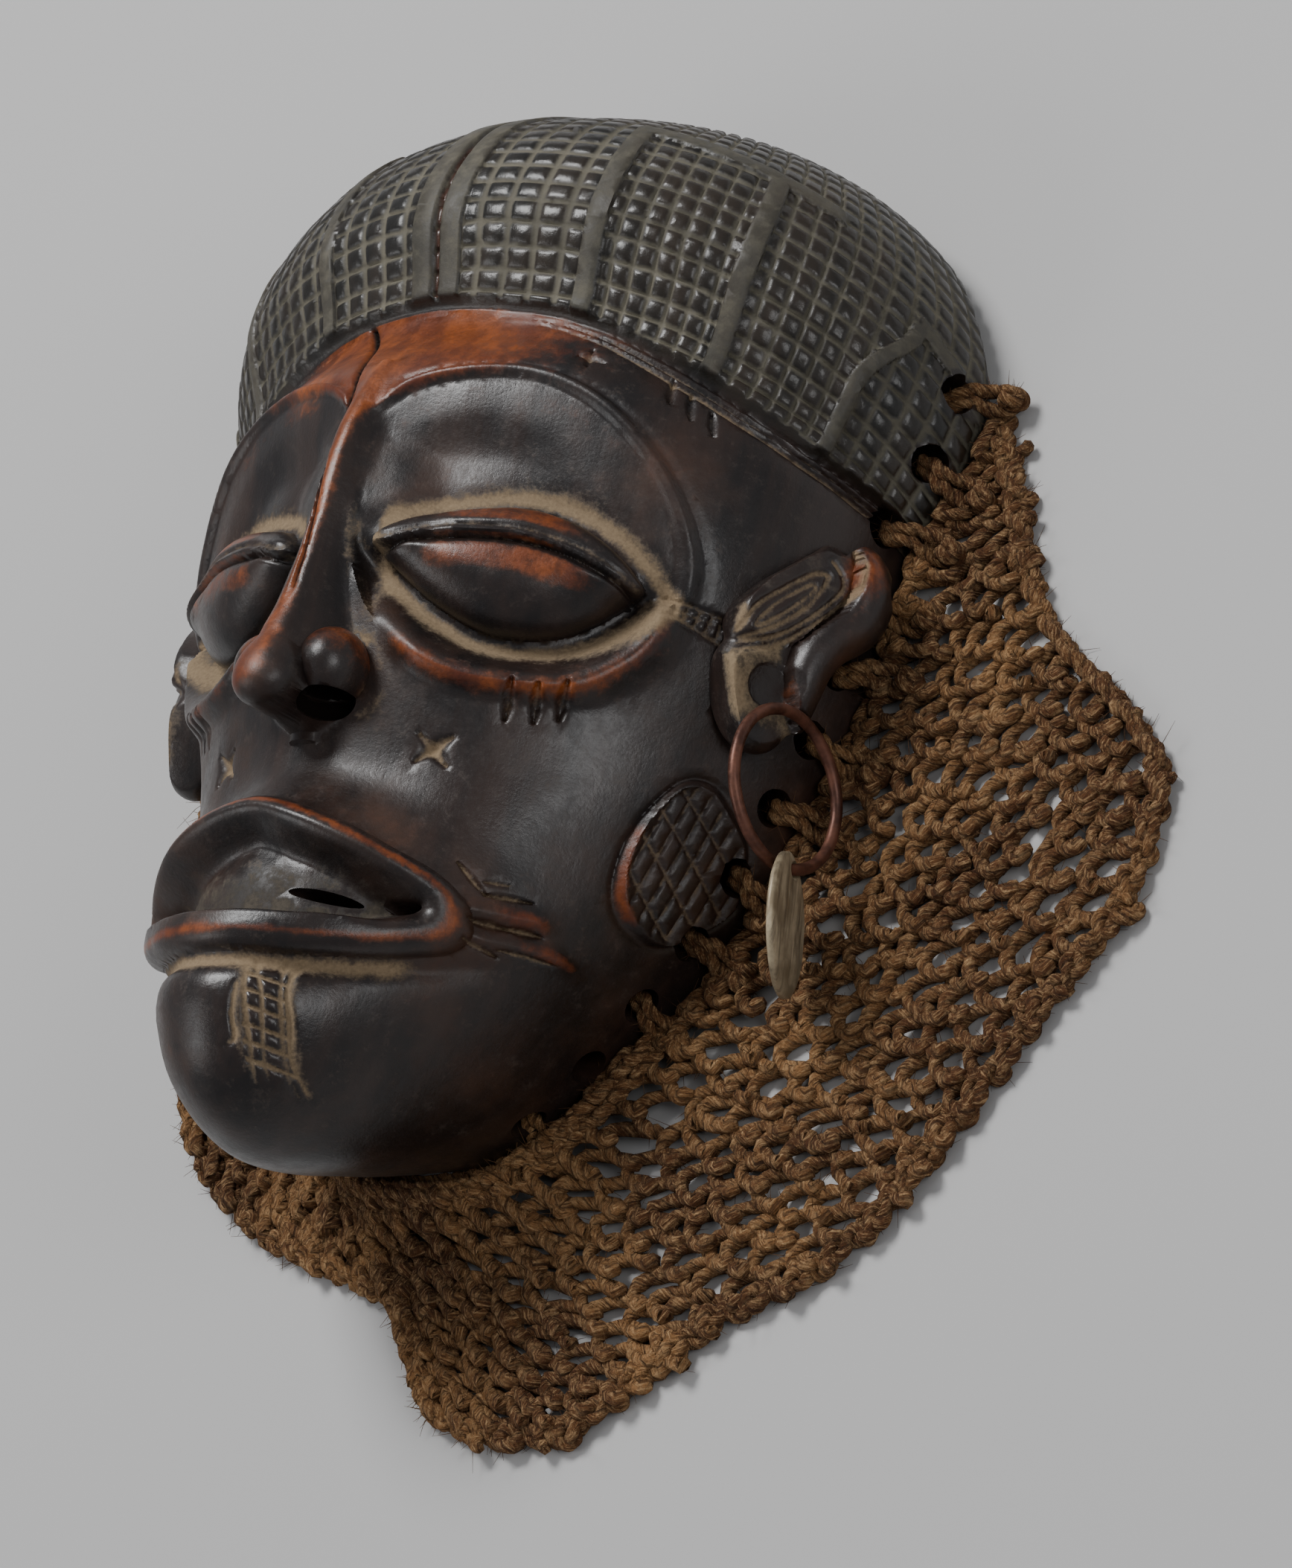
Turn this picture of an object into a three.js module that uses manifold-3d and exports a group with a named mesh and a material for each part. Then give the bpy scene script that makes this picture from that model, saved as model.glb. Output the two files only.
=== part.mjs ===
import * as THREE from 'three';
import { mergeVertices } from 'three/addons/utils/BufferGeometryUtils.js';
import Module from 'manifold-3d';

const wasm = await Module();
wasm.setup();

// Driving dimensions, millimetres. The mask lies on its back: X to the mask's own left,
// Y towards the coiffure, Z out of the face, rim on Z = 0.
const WALL_SIDE = 8;
const HOLLOW_DEPTH = 0.84;
const HOLE_DIAMETER = 7.5;
const HOLE_HEIGHT = 13;
const HOLE_COUNT = 12;
const HAIRLINE_ROW = 10;
const CAP_STEP = 2.6;
const BAND_WIDTH = 5.6;
const BAND_RAISE = 1.1;
const LIP_RADIUS = 2.7;
const MOUTH_HALF = 39;
const MOUTH_Y = -94;
const EYE_X = 37;
const EYE_Y = -20;
const RING_RADIUS = 17;
const RING_WIRE = 2.6;
const DISC_RADIUS = 15.5;
const DISC_THICKNESS = 2;
const NET_THICKNESS = 4.2;
const NET_GAP = 2.2;
const NET_LEVEL = 8.5;
// The coiffure sits a little to the right of the middle of the face.
const CAP_LEAN = -1.5;

// Sections of the head from chin to crown: half width and y on the rim,
// y and height on the midline, and how far the front of the section is pinched.
const sections = [
  { rim: [0, -122], crown: [-122, 0], pinch: 0 },
  { rim: [18, -119], crown: [-136, 30], pinch: 0.15 },
  { rim: [36, -106], crown: [-145, 60], pinch: 0.25 },
  { rim: [52, -88], crown: [-137, 80], pinch: 0.3 },
  { rim: [65.5, -70], crown: [-116, 88], pinch: 0.32 },
  { rim: [76, -48], crown: [-88, 82], pinch: 0.296 },
  { rim: [83, -28], crown: [-62, 78], pinch: 0.21 },
  { rim: [85, -10], crown: [-36, 82], pinch: 0.082 },
  { rim: [86, 4], crown: [-8, 88], pinch: 0 },
  { rim: [87, 11], crown: [24, 86], pinch: 0 },
  { rim: [88, 18], crown: [47, 73], pinch: 0 },
  { rim: [96.5, 37], crown: [71, 78], pinch: 0 },
  { rim: [95.5, 59], crown: [92, 69], pinch: 0.02 },
  { rim: [79.5, 84], crown: [106, 49], pinch: 0.05 },
  { rim: [45, 106], crown: [114, 27], pinch: 0.05 },
  { rim: [23, 115], crown: [117.5, 12], pinch: 0 },
  { rim: [0, 118], crown: [118, 0], pinch: 0 },
];
const LAST = sections.length - 1;

function splineOf(points) {
  return new THREE.CatmullRomCurve3(points, false, 'catmullrom', 0.5);
}
const rimCurve = splineOf(sections.map((s) => new THREE.Vector3(s.rim[0], s.rim[1], s.pinch)));
const crownCurve = splineOf(sections.map((s) => new THREE.Vector3(0, s.crown[0], s.crown[1])));

function smooth(a, b, v) {
  const t = THREE.MathUtils.clamp((v - a) / (b - a), 0, 1);
  return t * t * (3 - 2 * t);
}
function mound(dx, dy) {
  const q = 1 - dx * dx - dy * dy;
  return q > 0 ? q * q : 0;
}

// Plain surface of the head at a row (0 chin, 16 crown) and an angle round the front.
function bare(row, angle) {
  const rim = rimCurve.getPoint(row / LAST);
  const crown = crownCurve.getPoint(row / LAST);
  const s = Math.sin(angle);
  return new THREE.Vector3(
    Math.max(rim.x, 0) * Math.cos(angle) * (1 - rim.z * s) + CAP_LEAN * smooth(10.5, 12.5, row),
    rim.y + (crown.y - rim.y) * s,
    Math.max(crown.z, 0) * s,
  );
}
function normalAt(row, angle) {
  const e = 0.02;
  const along = bare(Math.min(row + e, LAST - 0.01), angle).sub(bare(Math.max(row - e, 0.01), angle));
  const across = bare(row, angle + e).sub(bare(row, angle - e));
  return across.cross(along).negate().normalize();
}

// Height of the broad carving over the plain surface.
function relief(p, row) {
  const x = Math.abs(p.x);
  const y = p.y;
  const inFront = smooth(12, 30, p.z);
  // orbit, a broad oval sunk under the brow, with a ledge left round its lower edge
  const ox = (x - 35) / 32;
  const oy = (y + 8) / (y > -8 ? 35 : 33);
  const oval = Math.sqrt(ox * ox + oy * oy);
  let h = -6 * (1 - smooth(0.74, 1, oval)) * inFront;
  h += 3.2 * smooth(0.72, 0.9, oval) * (1 - smooth(0.95, 1.08, oval)) * smooth(-10, -24, y) * inFront;
  // root of the nose, muzzle, chin and the hollow of the mouth
  h += 5 * mound(x / 16, (y + 30) / 30) * inFront;
  h += 8 * mound(x / 52, (y + 89) / 27) * inFront;
  h -= 6 * mound(x / 36, (y + 94) / 10) * inFront;
  h += 2.5 * mound(x / 34, (y + 122) / 22) * smooth(30, 50, p.z);
  // the coiffure stands over the face at the hairline
  h += CAP_STEP * smooth(HAIRLINE_ROW, HAIRLINE_ROW + 0.16, row) * smooth(16, 13.4, row);
  return h;
}
function carved(row, angle, lift = 0) {
  const p = bare(row, angle);
  const n = normalAt(row, angle);
  const flat = Math.min(1, p.z / 6);
  const h = relief(p, row) * flat + lift;
  return p.addScaledVector(n, h);
}

function solidOf(geometry) {
  const g = geometry.clone();
  g.deleteAttribute('normal');
  g.deleteAttribute('uv');
  const m = mergeVertices(g, 1e-4);
  const ids = m.index.array;
  const kept = [];
  for (let i = 0; i < ids.length; i += 3) {
    const [a, b, c] = [ids[i], ids[i + 1], ids[i + 2]];
    if (a !== b && b !== c && c !== a) {
      kept.push(a, b, c);
    }
  }
  return new wasm.Manifold(new wasm.Mesh({
    numProp: 3,
    vertProperties: new Float32Array(m.attributes.position.array),
    triVerts: new Uint32Array(kept),
  }));
}
function geometryOf(solid) {
  const mesh = solid.getMesh();
  const g = new THREE.BufferGeometry();
  g.setAttribute('position', new THREE.BufferAttribute(new Float32Array(mesh.vertProperties), 3));
  g.setIndex(new THREE.BufferAttribute(new Uint32Array(mesh.triVerts), 1));
  g.computeVertexNormals();
  return g;
}

// A closed shell from two sheets over one grid, sewn round the edge.
function shell(cols, rows, upper, lower) {
  const top = new THREE.PlaneGeometry(1, 1, cols, rows);
  const bottom = new THREE.PlaneGeometry(1, 1, cols, rows);
  const wide = cols + 1;
  const count = wide * (rows + 1);
  const positions = new Float32Array(count * 6);
  [[top, upper], [bottom, lower]].forEach(([sheet, place], side) => {
    const at = sheet.attributes.position;
    for (let i = 0; i < count; i += 1) {
      const p = place(at.getX(i) + 0.5, at.getY(i) + 0.5);
      positions.set([p.x, p.y, p.z], (side * count + i) * 3);
    }
  });
  const index = [];
  const faces = top.index.array;
  for (let i = 0; i < faces.length; i += 3) {
    index.push(faces[i], faces[i + 1], faces[i + 2]);
    index.push(count + faces[i], count + faces[i + 2], count + faces[i + 1]);
  }
  const sew = (a, b) => index.push(a, count + a, count + b, a, count + b, b);
  for (let i = 0; i < cols; i += 1) {
    sew(i + 1, i);
    sew(rows * wide + i, rows * wide + i + 1);
  }
  for (let j = 0; j < rows; j += 1) {
    sew(j * wide, (j + 1) * wide);
    sew((j + 1) * wide + cols, j * wide + cols);
  }
  const g = new THREE.BufferGeometry();
  g.setAttribute('position', new THREE.BufferAttribute(positions, 3));
  g.setIndex(index);
  return g;
}

// Rows lie close together over the face and at the hairline, columns over its middle.
const rowStops = [[0, 0], [0.1, 2.6], [0.8, 9.9], [0.82, 10], [0.84, 10.16], [1, LAST]];
function spread(stops, v) {
  for (let i = 1; i < stops.length; i += 1) {
    if (v <= stops[i][0] + 1e-9) {
      const k = (v - stops[i - 1][0]) / (stops[i][0] - stops[i - 1][0]);
      return THREE.MathUtils.lerp(stops[i - 1][1], stops[i][1], k);
    }
  }
  return LAST;
}
function angleOf(u) {
  const c = 2 * u - 1;
  return (Math.PI / 2) * (1 - (0.62 * c + 0.38 * c ** 3));
}
function outside(u, v) {
  const row = THREE.MathUtils.clamp(spread(rowStops, v), 0, LAST);
  const angle = angleOf(u);
  if (row < 0.001 || row > LAST - 0.001) {
    return bare(row, Math.PI / 2).setZ(0);
  }
  const edge = u < 0.001 || u > 0.999;
  const p = edge ? bare(row, angle) : carved(row, angle);
  p.z = edge ? 0 : Math.max(p.z, 0);
  return p;
}
// A sheet whose two long edges are joined by one flat strip and whose ends are drawn to points.
function vault(cols, rows, place) {
  const sheet = new THREE.PlaneGeometry(1, 1, cols, rows);
  const at = sheet.attributes.position;
  for (let i = 0; i < at.count; i += 1) {
    const p = place(at.getX(i) + 0.5, at.getY(i) + 0.5);
    at.setXYZ(i, p.x, p.y, p.z);
  }
  const index = Array.from(sheet.index.array);
  const wide = cols + 1;
  for (let j = 0; j < rows; j += 1) {
    const a = j * wide;
    const b = (j + 1) * wide;
    index.push(a, b + cols, b);
    index.push(a, a + cols, b + cols);
  }
  sheet.setIndex(index);
  return sheet;
}

const HEAD_COLS = 32;
const HEAD_ROWS = 37;
function headSolid() {
  return solidOf(vault(HEAD_COLS, HEAD_ROWS, outside));
}
function hollowSolid() {
  const place = (u, v) => {
    const row = v * LAST;
    const p = bare(row, Math.PI * (1 - u));
    const rim = rimCurve.getPoint(row / LAST);
    const narrow = Math.max(rim.x - WALL_SIDE, 0) / Math.max(rim.x, 1);
    return new THREE.Vector3(p.x * narrow, (p.y + 2) * 0.93 - 2, p.z * HOLLOW_DEPTH);
  };
  const seat = (u, v) => {
    const p = place(u, v);
    return u < 0.001 || u > 0.999 || v < 0.001 || v > 0.999 ? p.setZ(-1) : p;
  };
  return solidOf(vault(12, 14, seat));
}

function tubeSolid(points, radius, lengthSegments, sides, closed = false) {
  const curve = new THREE.CatmullRomCurve3(points, closed, 'catmullrom', 0.5);
  const g = new THREE.TubeGeometry(curve, lengthSegments, radius, sides, closed);
  if (closed) {
    return solidOf(g);
  }
  const at = g.attributes.position;
  const ring = sides + 1;
  // close both ends by drawing the end rings to a point
  const first = new THREE.Vector3();
  const last = new THREE.Vector3();
  curve.getPoint(0, first);
  curve.getPoint(1, last);
  for (let i = 0; i < ring; i += 1) {
    at.setXYZ(i, first.x, first.y, first.z);
    const k = lengthSegments * ring + i;
    at.setXYZ(k, last.x, last.y, last.z);
  }
  return solidOf(g);
}

function ballSolid(centre, radii, turn = new THREE.Euler(), across = 10, down = 6) {
  const g = new THREE.SphereGeometry(1, across, down);
  g.scale(...radii);
  g.applyMatrix4(new THREE.Matrix4().makeRotationFromEuler(turn));
  g.translate(...centre);
  return solidOf(g);
}

const degrees = THREE.MathUtils.degToRad;

// A raised band of the coiffure: a tube sunk so that only its crest stands out.
function bandSolid(path, steps = 6) {
  const sink = ((BAND_WIDTH / 2) ** 2 - BAND_RAISE ** 2) / (2 * BAND_RAISE);
  const radius = Math.min(sink + BAND_RAISE, 4);
  const points = [];
  for (let i = 0; i <= steps; i += 1) {
    const [row, angle] = path(i / steps);
    points.push(carved(row, degrees(angle), BAND_RAISE - radius));
  }
  return tubeSolid(points, radius, steps, 6);
}
const straightBands = [
  { angle: 91.5, from: 10.2, to: 14.2 },
  { angle: 87.5, from: 10.2, to: 14.2 },
  { angle: 65.5, from: 10.2, to: 12.3 },
  { angle: 44.5, from: 10.2, to: 12 },
  { angle: 110, from: 10.2, to: 12.3 },
  { angle: 134, from: 10.2, to: 12 },
];
function coiffureBands() {
  const bands = straightBands.map((b) => bandSolid((k) => [THREE.MathUtils.lerp(b.from, b.to, k), b.angle]));
  [1, -1].forEach((side) => {
    const turn = (angle) => (side > 0 ? angle : 180 - angle);
    bands.push(bandSolid((k) => [12.15 - 0.15 * k, turn(68 - 24 * k)]));
    bands.push(bandSolid((k) => [10.2 + 1.25 * Math.min(1, k * 1.6), turn(26 - 16 * smooth(0.45, 1, k))]));
  });
  return bands;
}

// Both lips are one raised roll round the mouth.
function lipsSolid() {
  const points = [];
  const steps = 22;
  for (let i = 0; i < steps; i += 1) {
    const a = (i / steps) * Math.PI * 2;
    const bow = Math.abs(Math.sin(a)) ** 1.2;
    const x = MOUTH_HALF * Math.cos(a);
    const y = MOUTH_Y + (Math.sin(a) > 0 ? 14 : -9) * bow;
    points.push(new THREE.Vector3(x, y, surfaceHeight(x, y)));
  }
  return tubeSolid(points, LIP_RADIUS, 22, 6, true);
}
// Row and angle of the carved front above a point of the plan, found by search.
function locate(x, y) {
  let row = 5;
  let angle = Math.PI / 2;
  for (let i = 0; i < 40; i += 1) {
    const p = carved(row, angle);
    const e = 0.01;
    const pr = carved(row + e, angle).sub(p).divideScalar(e);
    const pa = carved(row, angle + e).sub(p).divideScalar(e);
    const det = pr.x * pa.y - pr.y * pa.x;
    const dx = x - p.x;
    const dy = y - p.y;
    row += THREE.MathUtils.clamp((dx * pa.y - dy * pa.x) / det, -0.5, 0.5);
    angle += THREE.MathUtils.clamp((dy * pr.x - dx * pr.y) / det, -0.3, 0.3);
  }
  return { row, angle };
}
function surfaceHeight(x, y) {
  const { row, angle } = locate(x, y);
  return carved(row, angle).z;
}

// The ear is laid out on a plane of its own: up along Y, forward round the cheek.
const earOrigin = new THREE.Vector3(82, -3, 24);
const earOut = new THREE.Vector3(0.93, 0, 0.35).normalize();
const earForward = new THREE.Vector3(-0.35, 0, 0.93).normalize();
function earPoint(up, forward, out, side) {
  const p = earOrigin.clone();
  p.y += up;
  p.addScaledVector(earForward, forward);
  p.addScaledVector(earOut, out);
  p.x *= side;
  return p;
}
function earSolids(side) {
  const at = (up, forward, out) => earPoint(up, forward, out, side).toArray();
  const lean = new THREE.Euler(0, side * degrees(-20), 0);
  const plate = ballSolid(at(-7, 6, 0.5), [8, 17, 13], lean, 12, 7);
  const lobe = ballSolid(at(-25, 5, 0), [6, 12, 9], lean, 10, 6);
  const helix = tubeSolid(
    [[9, 2, 2], [6, -6, 5.5], [-3, -9, 7], [-11, -5, 7], [-20, -1, 5], [-31, 0, 2]]
      .map((q) => earPoint(q[0], q[1], q[2], side)),
    5.6, 9, 7,
  );
  const drop = ballSolid(at(-32, 2, 4), [5, 6.5, 6], lean, 8, 6);
  return side > 0 ? [plate, lobe, helix, drop] : [plate, lobe, helix];
}

// Rim holes, evenly stepped along the edge on both sides of the chin.
function rimHoles() {
  const half = splineOf(sections.slice(1, 13).map((s) => new THREE.Vector3(s.rim[0], s.rim[1], 0)));
  const drills = [];
  for (let i = 0; i < HOLE_COUNT; i += 1) {
    const k = (i + 0.6) / (HOLE_COUNT + 0.2);
    const p = half.getPointAt(k);
    const t = half.getTangentAt(k);
    const out = new THREE.Vector3(t.y, -t.x, 0).normalize();
    [1, -1].forEach((side) => {
      const g = new THREE.CylinderGeometry(HOLE_DIAMETER / 2, HOLE_DIAMETER / 2, 60, 8);
      const dir = new THREE.Vector3(out.x * side, out.y, 0.12).normalize();
      g.applyQuaternion(new THREE.Quaternion().setFromUnitVectors(new THREE.Vector3(0, 1, 0), dir));
      g.translate(p.x * side, p.y, HOLE_HEIGHT);
      drills.push(solidOf(g));
    });
  }
  return drills;
}

// A low swelling laid on the carved surface and turned to follow it.
function swelling(x, y, radii, sink, turn = 0) {
  const { row, angle } = locate(x, y);
  const n = normalAt(row, angle);
  const centre = carved(row, angle, -sink);
  const lean = new THREE.Quaternion().setFromUnitVectors(new THREE.Vector3(0, 0, 1), n);
  lean.multiply(new THREE.Quaternion().setFromAxisAngle(new THREE.Vector3(0, 0, 1), turn));
  return ballSolid(centre.toArray(), radii, new THREE.Euler().setFromQuaternion(lean), 12, 6);
}
function slitSolid(side) {
  const points = [];
  for (let i = 0; i <= 8; i += 1) {
    const k = (i / 8) * 2 - 1;
    const x = side * (EYE_X + 23 * k);
    const y = EYE_Y + 9.5 - 6 * k * k;
    points.push(new THREE.Vector3(x, y, surfaceHeight(x, y) + 2.6));
  }
  return tubeSolid(points, 1.3, 8, 4);
}
function noseSolids() {
  const ridge = tubeSolid([[0, 20, 80], [0, 4, 86], [0, -18, 89], [0, -40, 94], [0, -50, 93]]
    .map((q) => new THREE.Vector3(...q)), 5.6, 9, 8);
  const tip = ballSolid([0, -46, 92.4], [6.6, 9, 7.5]);
  const wings = [1, -1].map((side) => ballSolid([8.2 * side, -43.5, 84], [7.8, 8.4, 9]));
  return [ridge, tip, ...wings];
}

function maskGeometry() {
  let body = headSolid();
  const added = [...coiffureBands(), lipsSolid(), ...noseSolids()];
  const cut = [hollowSolid(), ...rimHoles()];
  [1, -1].forEach((side) => {
    added.push(...earSolids(side));
    added.push(swelling(EYE_X * side, EYE_Y, [26, 13.5, 9], 0.5, -0.12 * side));
    added.push(swelling(62 * side, -66, [11, 17, 5], 3));
    cut.push(slitSolid(side));
    cut.push(ballSolid([7.4 * side, -51.8, 81], [4.6, 4.2, 5.4]));
  });
  // the lobe of the left ear is pierced along the line of the ring
  cut.push(solidOf(ringTorus(RING_WIRE / 2 + 0.8)));
  const mouth = new THREE.BoxGeometry(52, 3.4, 50);
  mouth.translate(3, MOUTH_Y - 2.5, 68);
  cut.push(solidOf(mouth));
  added.forEach((extra) => {
    body = body.add(extra);
  });
  cut.forEach((extra) => {
    body = body.subtract(extra);
  });
  return geometryOf(body);
}

// The copper ring hangs against the jaw from the lobe of the left ear, leaning a little outward.
const ringCentre = new THREE.Vector3(89.8, -51.2, 28.4);
const ringUp = new THREE.Vector3(-0.1, 0.95, 0.28).normalize();
const ringSide = new THREE.Vector3(0, -0.47, 0.88).projectOnPlane(ringUp).normalize();
function ringTorus(wire) {
  const g = new THREE.TorusGeometry(RING_RADIUS, wire, 6, 24);
  const across = new THREE.Vector3().crossVectors(ringSide, ringUp);
  g.applyMatrix4(new THREE.Matrix4().makeBasis(ringSide, ringUp, across));
  g.translate(...ringCentre.toArray());
  return g;
}
// The worn disc is pierced near its edge and strung on the ring.
const discNormal = new THREE.Vector3(0.904, 0.129, -0.403).normalize();
const discUp = new THREE.Vector3(-0.09, 0.99, 0.2).projectOnPlane(discNormal).normalize();
function discGeometry() {
  const g = new THREE.CylinderGeometry(DISC_RADIUS, DISC_RADIUS, DISC_THICKNESS, 24);
  const inset = DISC_RADIUS - 3.7;
  const down = discUp.clone().negate();
  const side = new THREE.Vector3().crossVectors(discNormal, down);
  g.applyMatrix4(new THREE.Matrix4().makeBasis(side, discNormal, down));
  const strung = ringCentre.clone().addScaledVector(ringUp, -RING_RADIUS);
  g.translate(...strung.addScaledVector(discUp, -inset).toArray());
  return geometryOf(solidOf(g).subtract(solidOf(ringTorus(RING_WIRE / 2 + 0.6))));
}

// Free edge of the net on the table, from behind the far temple round the chin to the near one.
const netEdge = splineOf([
  [-101, 46], [-104, 10], [-98, -38], [-84, -82], [-78, -112], [-50, -136], [-2, -156], [14, -180],
  [48, -184], [84, -160], [116, -142], [143, -102], [163, -70], [164, -38], [128, -3], [112, 28], [103, 50],
].map((q) => new THREE.Vector3(q[0], q[1], 0)));
function netInner(k) {
  const q = 2 * k - 1;
  const row = 0.35 + 10.9 * Math.abs(q);
  const crown = crownCurve.getPoint(row / LAST);
  const level = NET_LEVEL + NET_THICKNESS / 2;
  const angle = Math.asin(Math.min(1, level / crown.z));
  const p = bare(row, q > 0 ? angle : Math.PI - angle);
  const n = normalAt(row, q > 0 ? angle : Math.PI - angle).setZ(0).normalize();
  return p.addScaledVector(n, NET_GAP + CAP_STEP * smooth(9.4, 10.2, row)).setZ(0);
}
function netPoint(k, r) {
  const inner = netInner(k);
  const outer = netEdge.getPointAt(k);
  const p = inner.lerp(outer, r);
  const wave = 2.4 * Math.max(0, Math.sin(k * 40 + r * 4)) * smooth(0.5, 0.75, r) * smooth(1, 0.8, r);
  p.z = NET_THICKNESS + (NET_LEVEL - 3.2) * (1 - smooth(0, 0.3, r)) + wave;
  return p;
}
const NET_COLS = 30;
const NET_ROWS = 5;
function netGeometry() {
  const top = (u, v) => netPoint(u, 1 - v);
  const bottom = (u, v) => {
    const p = netPoint(u, 1 - v);
    p.z = Math.max(0.2, p.z - NET_THICKNESS);
    return p;
  };
  return geometryOf(solidOf(shell(NET_COLS, NET_ROWS, top, bottom)));
}

const wood = new THREE.MeshStandardMaterial({ color: 0x2a1c17, roughness: 0.45, metalness: 0 });
const copper = new THREE.MeshStandardMaterial({ color: 0x6b3f2e, roughness: 0.4, metalness: 0.7 });
const silver = new THREE.MeshStandardMaterial({ color: 0x9a8f7c, roughness: 0.55, metalness: 0.6 });
const fibre = new THREE.MeshStandardMaterial({ color: 0x6e4d2c, roughness: 1, metalness: 0 });

const part = new THREE.Group();
part.name = 'carved_face_mask';
function addPiece(name, geometry, material) {
  const mesh = new THREE.Mesh(geometry, material);
  mesh.name = name;
  part.add(mesh);
}

addPiece('mask', maskGeometry(), wood);
addPiece('ear_ring', ringTorus(RING_WIRE / 2), copper);
addPiece('disc_pendant', discGeometry(), silver);
addPiece('net_hood', netGeometry(), fibre);

// The origin sits on the table under the middle of the whole.
const extent = new THREE.Box3().setFromObject(part);
part.children.forEach((mesh) => {
  mesh.geometry.translate(-(extent.min.x + extent.max.x) / 2, -(extent.min.y + extent.max.y) / 2, 0);
});

export default part;
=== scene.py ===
import math

import bmesh
import bpy
import numpy as np
from mathutils import Matrix, Vector


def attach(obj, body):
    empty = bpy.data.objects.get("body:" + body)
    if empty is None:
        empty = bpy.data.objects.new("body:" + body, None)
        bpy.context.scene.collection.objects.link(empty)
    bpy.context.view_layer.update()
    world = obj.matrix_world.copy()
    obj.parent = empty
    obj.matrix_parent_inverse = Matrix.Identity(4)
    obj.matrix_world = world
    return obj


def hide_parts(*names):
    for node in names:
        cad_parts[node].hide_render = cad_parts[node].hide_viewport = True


bl_info = {
    "name": "Carved face mask",
    "version": (1, 0, 0),
    "blender": (4, 5, 0),
    "location": "3D View > Sidebar > Mask",
    "description": "Builds a carved wooden face mask with an ear ring and a looped net",
    "category": "Add Mesh",
}

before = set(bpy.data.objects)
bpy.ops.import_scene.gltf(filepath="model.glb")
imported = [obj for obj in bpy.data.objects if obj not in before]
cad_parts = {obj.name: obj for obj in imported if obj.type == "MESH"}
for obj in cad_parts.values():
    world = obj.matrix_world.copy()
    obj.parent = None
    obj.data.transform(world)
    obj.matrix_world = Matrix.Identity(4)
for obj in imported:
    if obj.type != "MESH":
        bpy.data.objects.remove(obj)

MM = 0.001
# The row frame sits under the middle of the whole; the carving is laid out about its own midline.
SHIFT = np.array([-31.675, 33.215, 0.0])
WALL_SIDE = 8.0
HOLLOW_DEPTH = 0.84
HOLE_HEIGHT = 13.0
HOLE_COUNT = 12
HOLE_RADIUS = 4.3
RING_CENTRE = np.array([89.8, -51.2, 28.4])
RING_RADIUS = 17.0
WIRE_RADIUS = 1.3
DISC_RADIUS = 15.5

# Sections from chin to crown: rim half width, rim y, midline y, midline height, pinch of the front.
SECTIONS = np.array([
    (0, -122, -122, 0, 0), (18, -119, -136, 30, 0.15), (36, -106, -145, 60, 0.25),
    (52, -88, -137, 80, 0.3), (65.5, -70, -116, 88, 0.32), (76, -48, -88, 82, 0.296),
    (83, -28, -62, 78, 0.21), (85, -10, -36, 82, 0.082), (86, 4, -8, 88, 0), (87, 11, 24, 86, 0),
    (88, 18, 47, 73, 0), (96.5, 37, 71, 78, 0), (95.5, 59, 92, 69, 0.02), (79.5, 84, 106, 49, 0.05),
    (45, 106, 114, 27, 0.05), (23, 115, 117.5, 12, 0), (0, 118, 118, 0, 0),
])
LAST = len(SECTIONS) - 1.0


def spline(points, t, closed=False):
    """Uniform Catmull-Rom through the points; t counts points."""
    p = np.asarray(points, float)
    n = len(p)
    t = np.asarray(t, float)
    if closed:
        i = np.floor(t).astype(int)
        f = (t - i)[..., None]
        a, b, c, d = p[(i - 1) % n], p[i % n], p[(i + 1) % n], p[(i + 2) % n]
    else:
        i = np.clip(np.floor(t).astype(int), 0, n - 2)
        f = (t - i)[..., None]
        q = np.vstack([2 * p[0] - p[1], p, 2 * p[-1] - p[-2]])
        a, b, c, d = q[i], q[i + 1], q[i + 2], q[i + 3]
    return 0.5 * (2 * b + (c - a) * f + (2 * a - 5 * b + 4 * c - d) * f**2 + (3 * b - a - 3 * c + d) * f**3)


def line(points, steps=14, closed=False):
    """A smooth polyline through the points."""
    n = len(points)
    return spline(points, np.linspace(0, n if closed else n - 1, steps * n), closed)


def sm(a, b, v):
    """Eased step from 0 at a to 1 at b; a may be the larger."""
    t = np.clip((v - a) / (b - a), 0, 1)
    return t * t * (3 - 2 * t)


def bell(distance, width):
    return np.exp(-(distance / width) ** 2)


def mound(dx, dy):
    return np.clip(1 - dx * dx - dy * dy, 0, None) ** 2


def lengths(path):
    """Length along a polyline from its first point to each of its points."""
    return np.r_[0, np.cumsum(np.linalg.norm(np.diff(path, axis=0), axis=1))]


def bare(row, angle):
    """Place on the plain outside: row counts the sections, and angle goes from rim over the middle to rim."""
    s = spline(SECTIONS, row)
    sn = np.sin(angle)
    return np.stack([
        np.clip(s[..., 0], 0, None) * np.cos(angle) * (1 - s[..., 4] * sn) - 1.5 * sm(10.5, 12.5, row),
        s[..., 1] + (s[..., 2] - s[..., 1]) * sn,
        np.clip(s[..., 3], 0, None) * sn,
    ], -1)


def unit(v):
    return v / np.maximum(np.linalg.norm(v, axis=-1, keepdims=True), 1e-12)


def normal_at(row, angle, e=0.02):
    along = bare(np.clip(row + e, 0, LAST - 0.01), angle) - bare(np.clip(row - e, 0.01, LAST), angle)
    across = bare(row, angle + e) - bare(row, angle - e)
    return unit(-np.cross(across, along))


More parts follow.
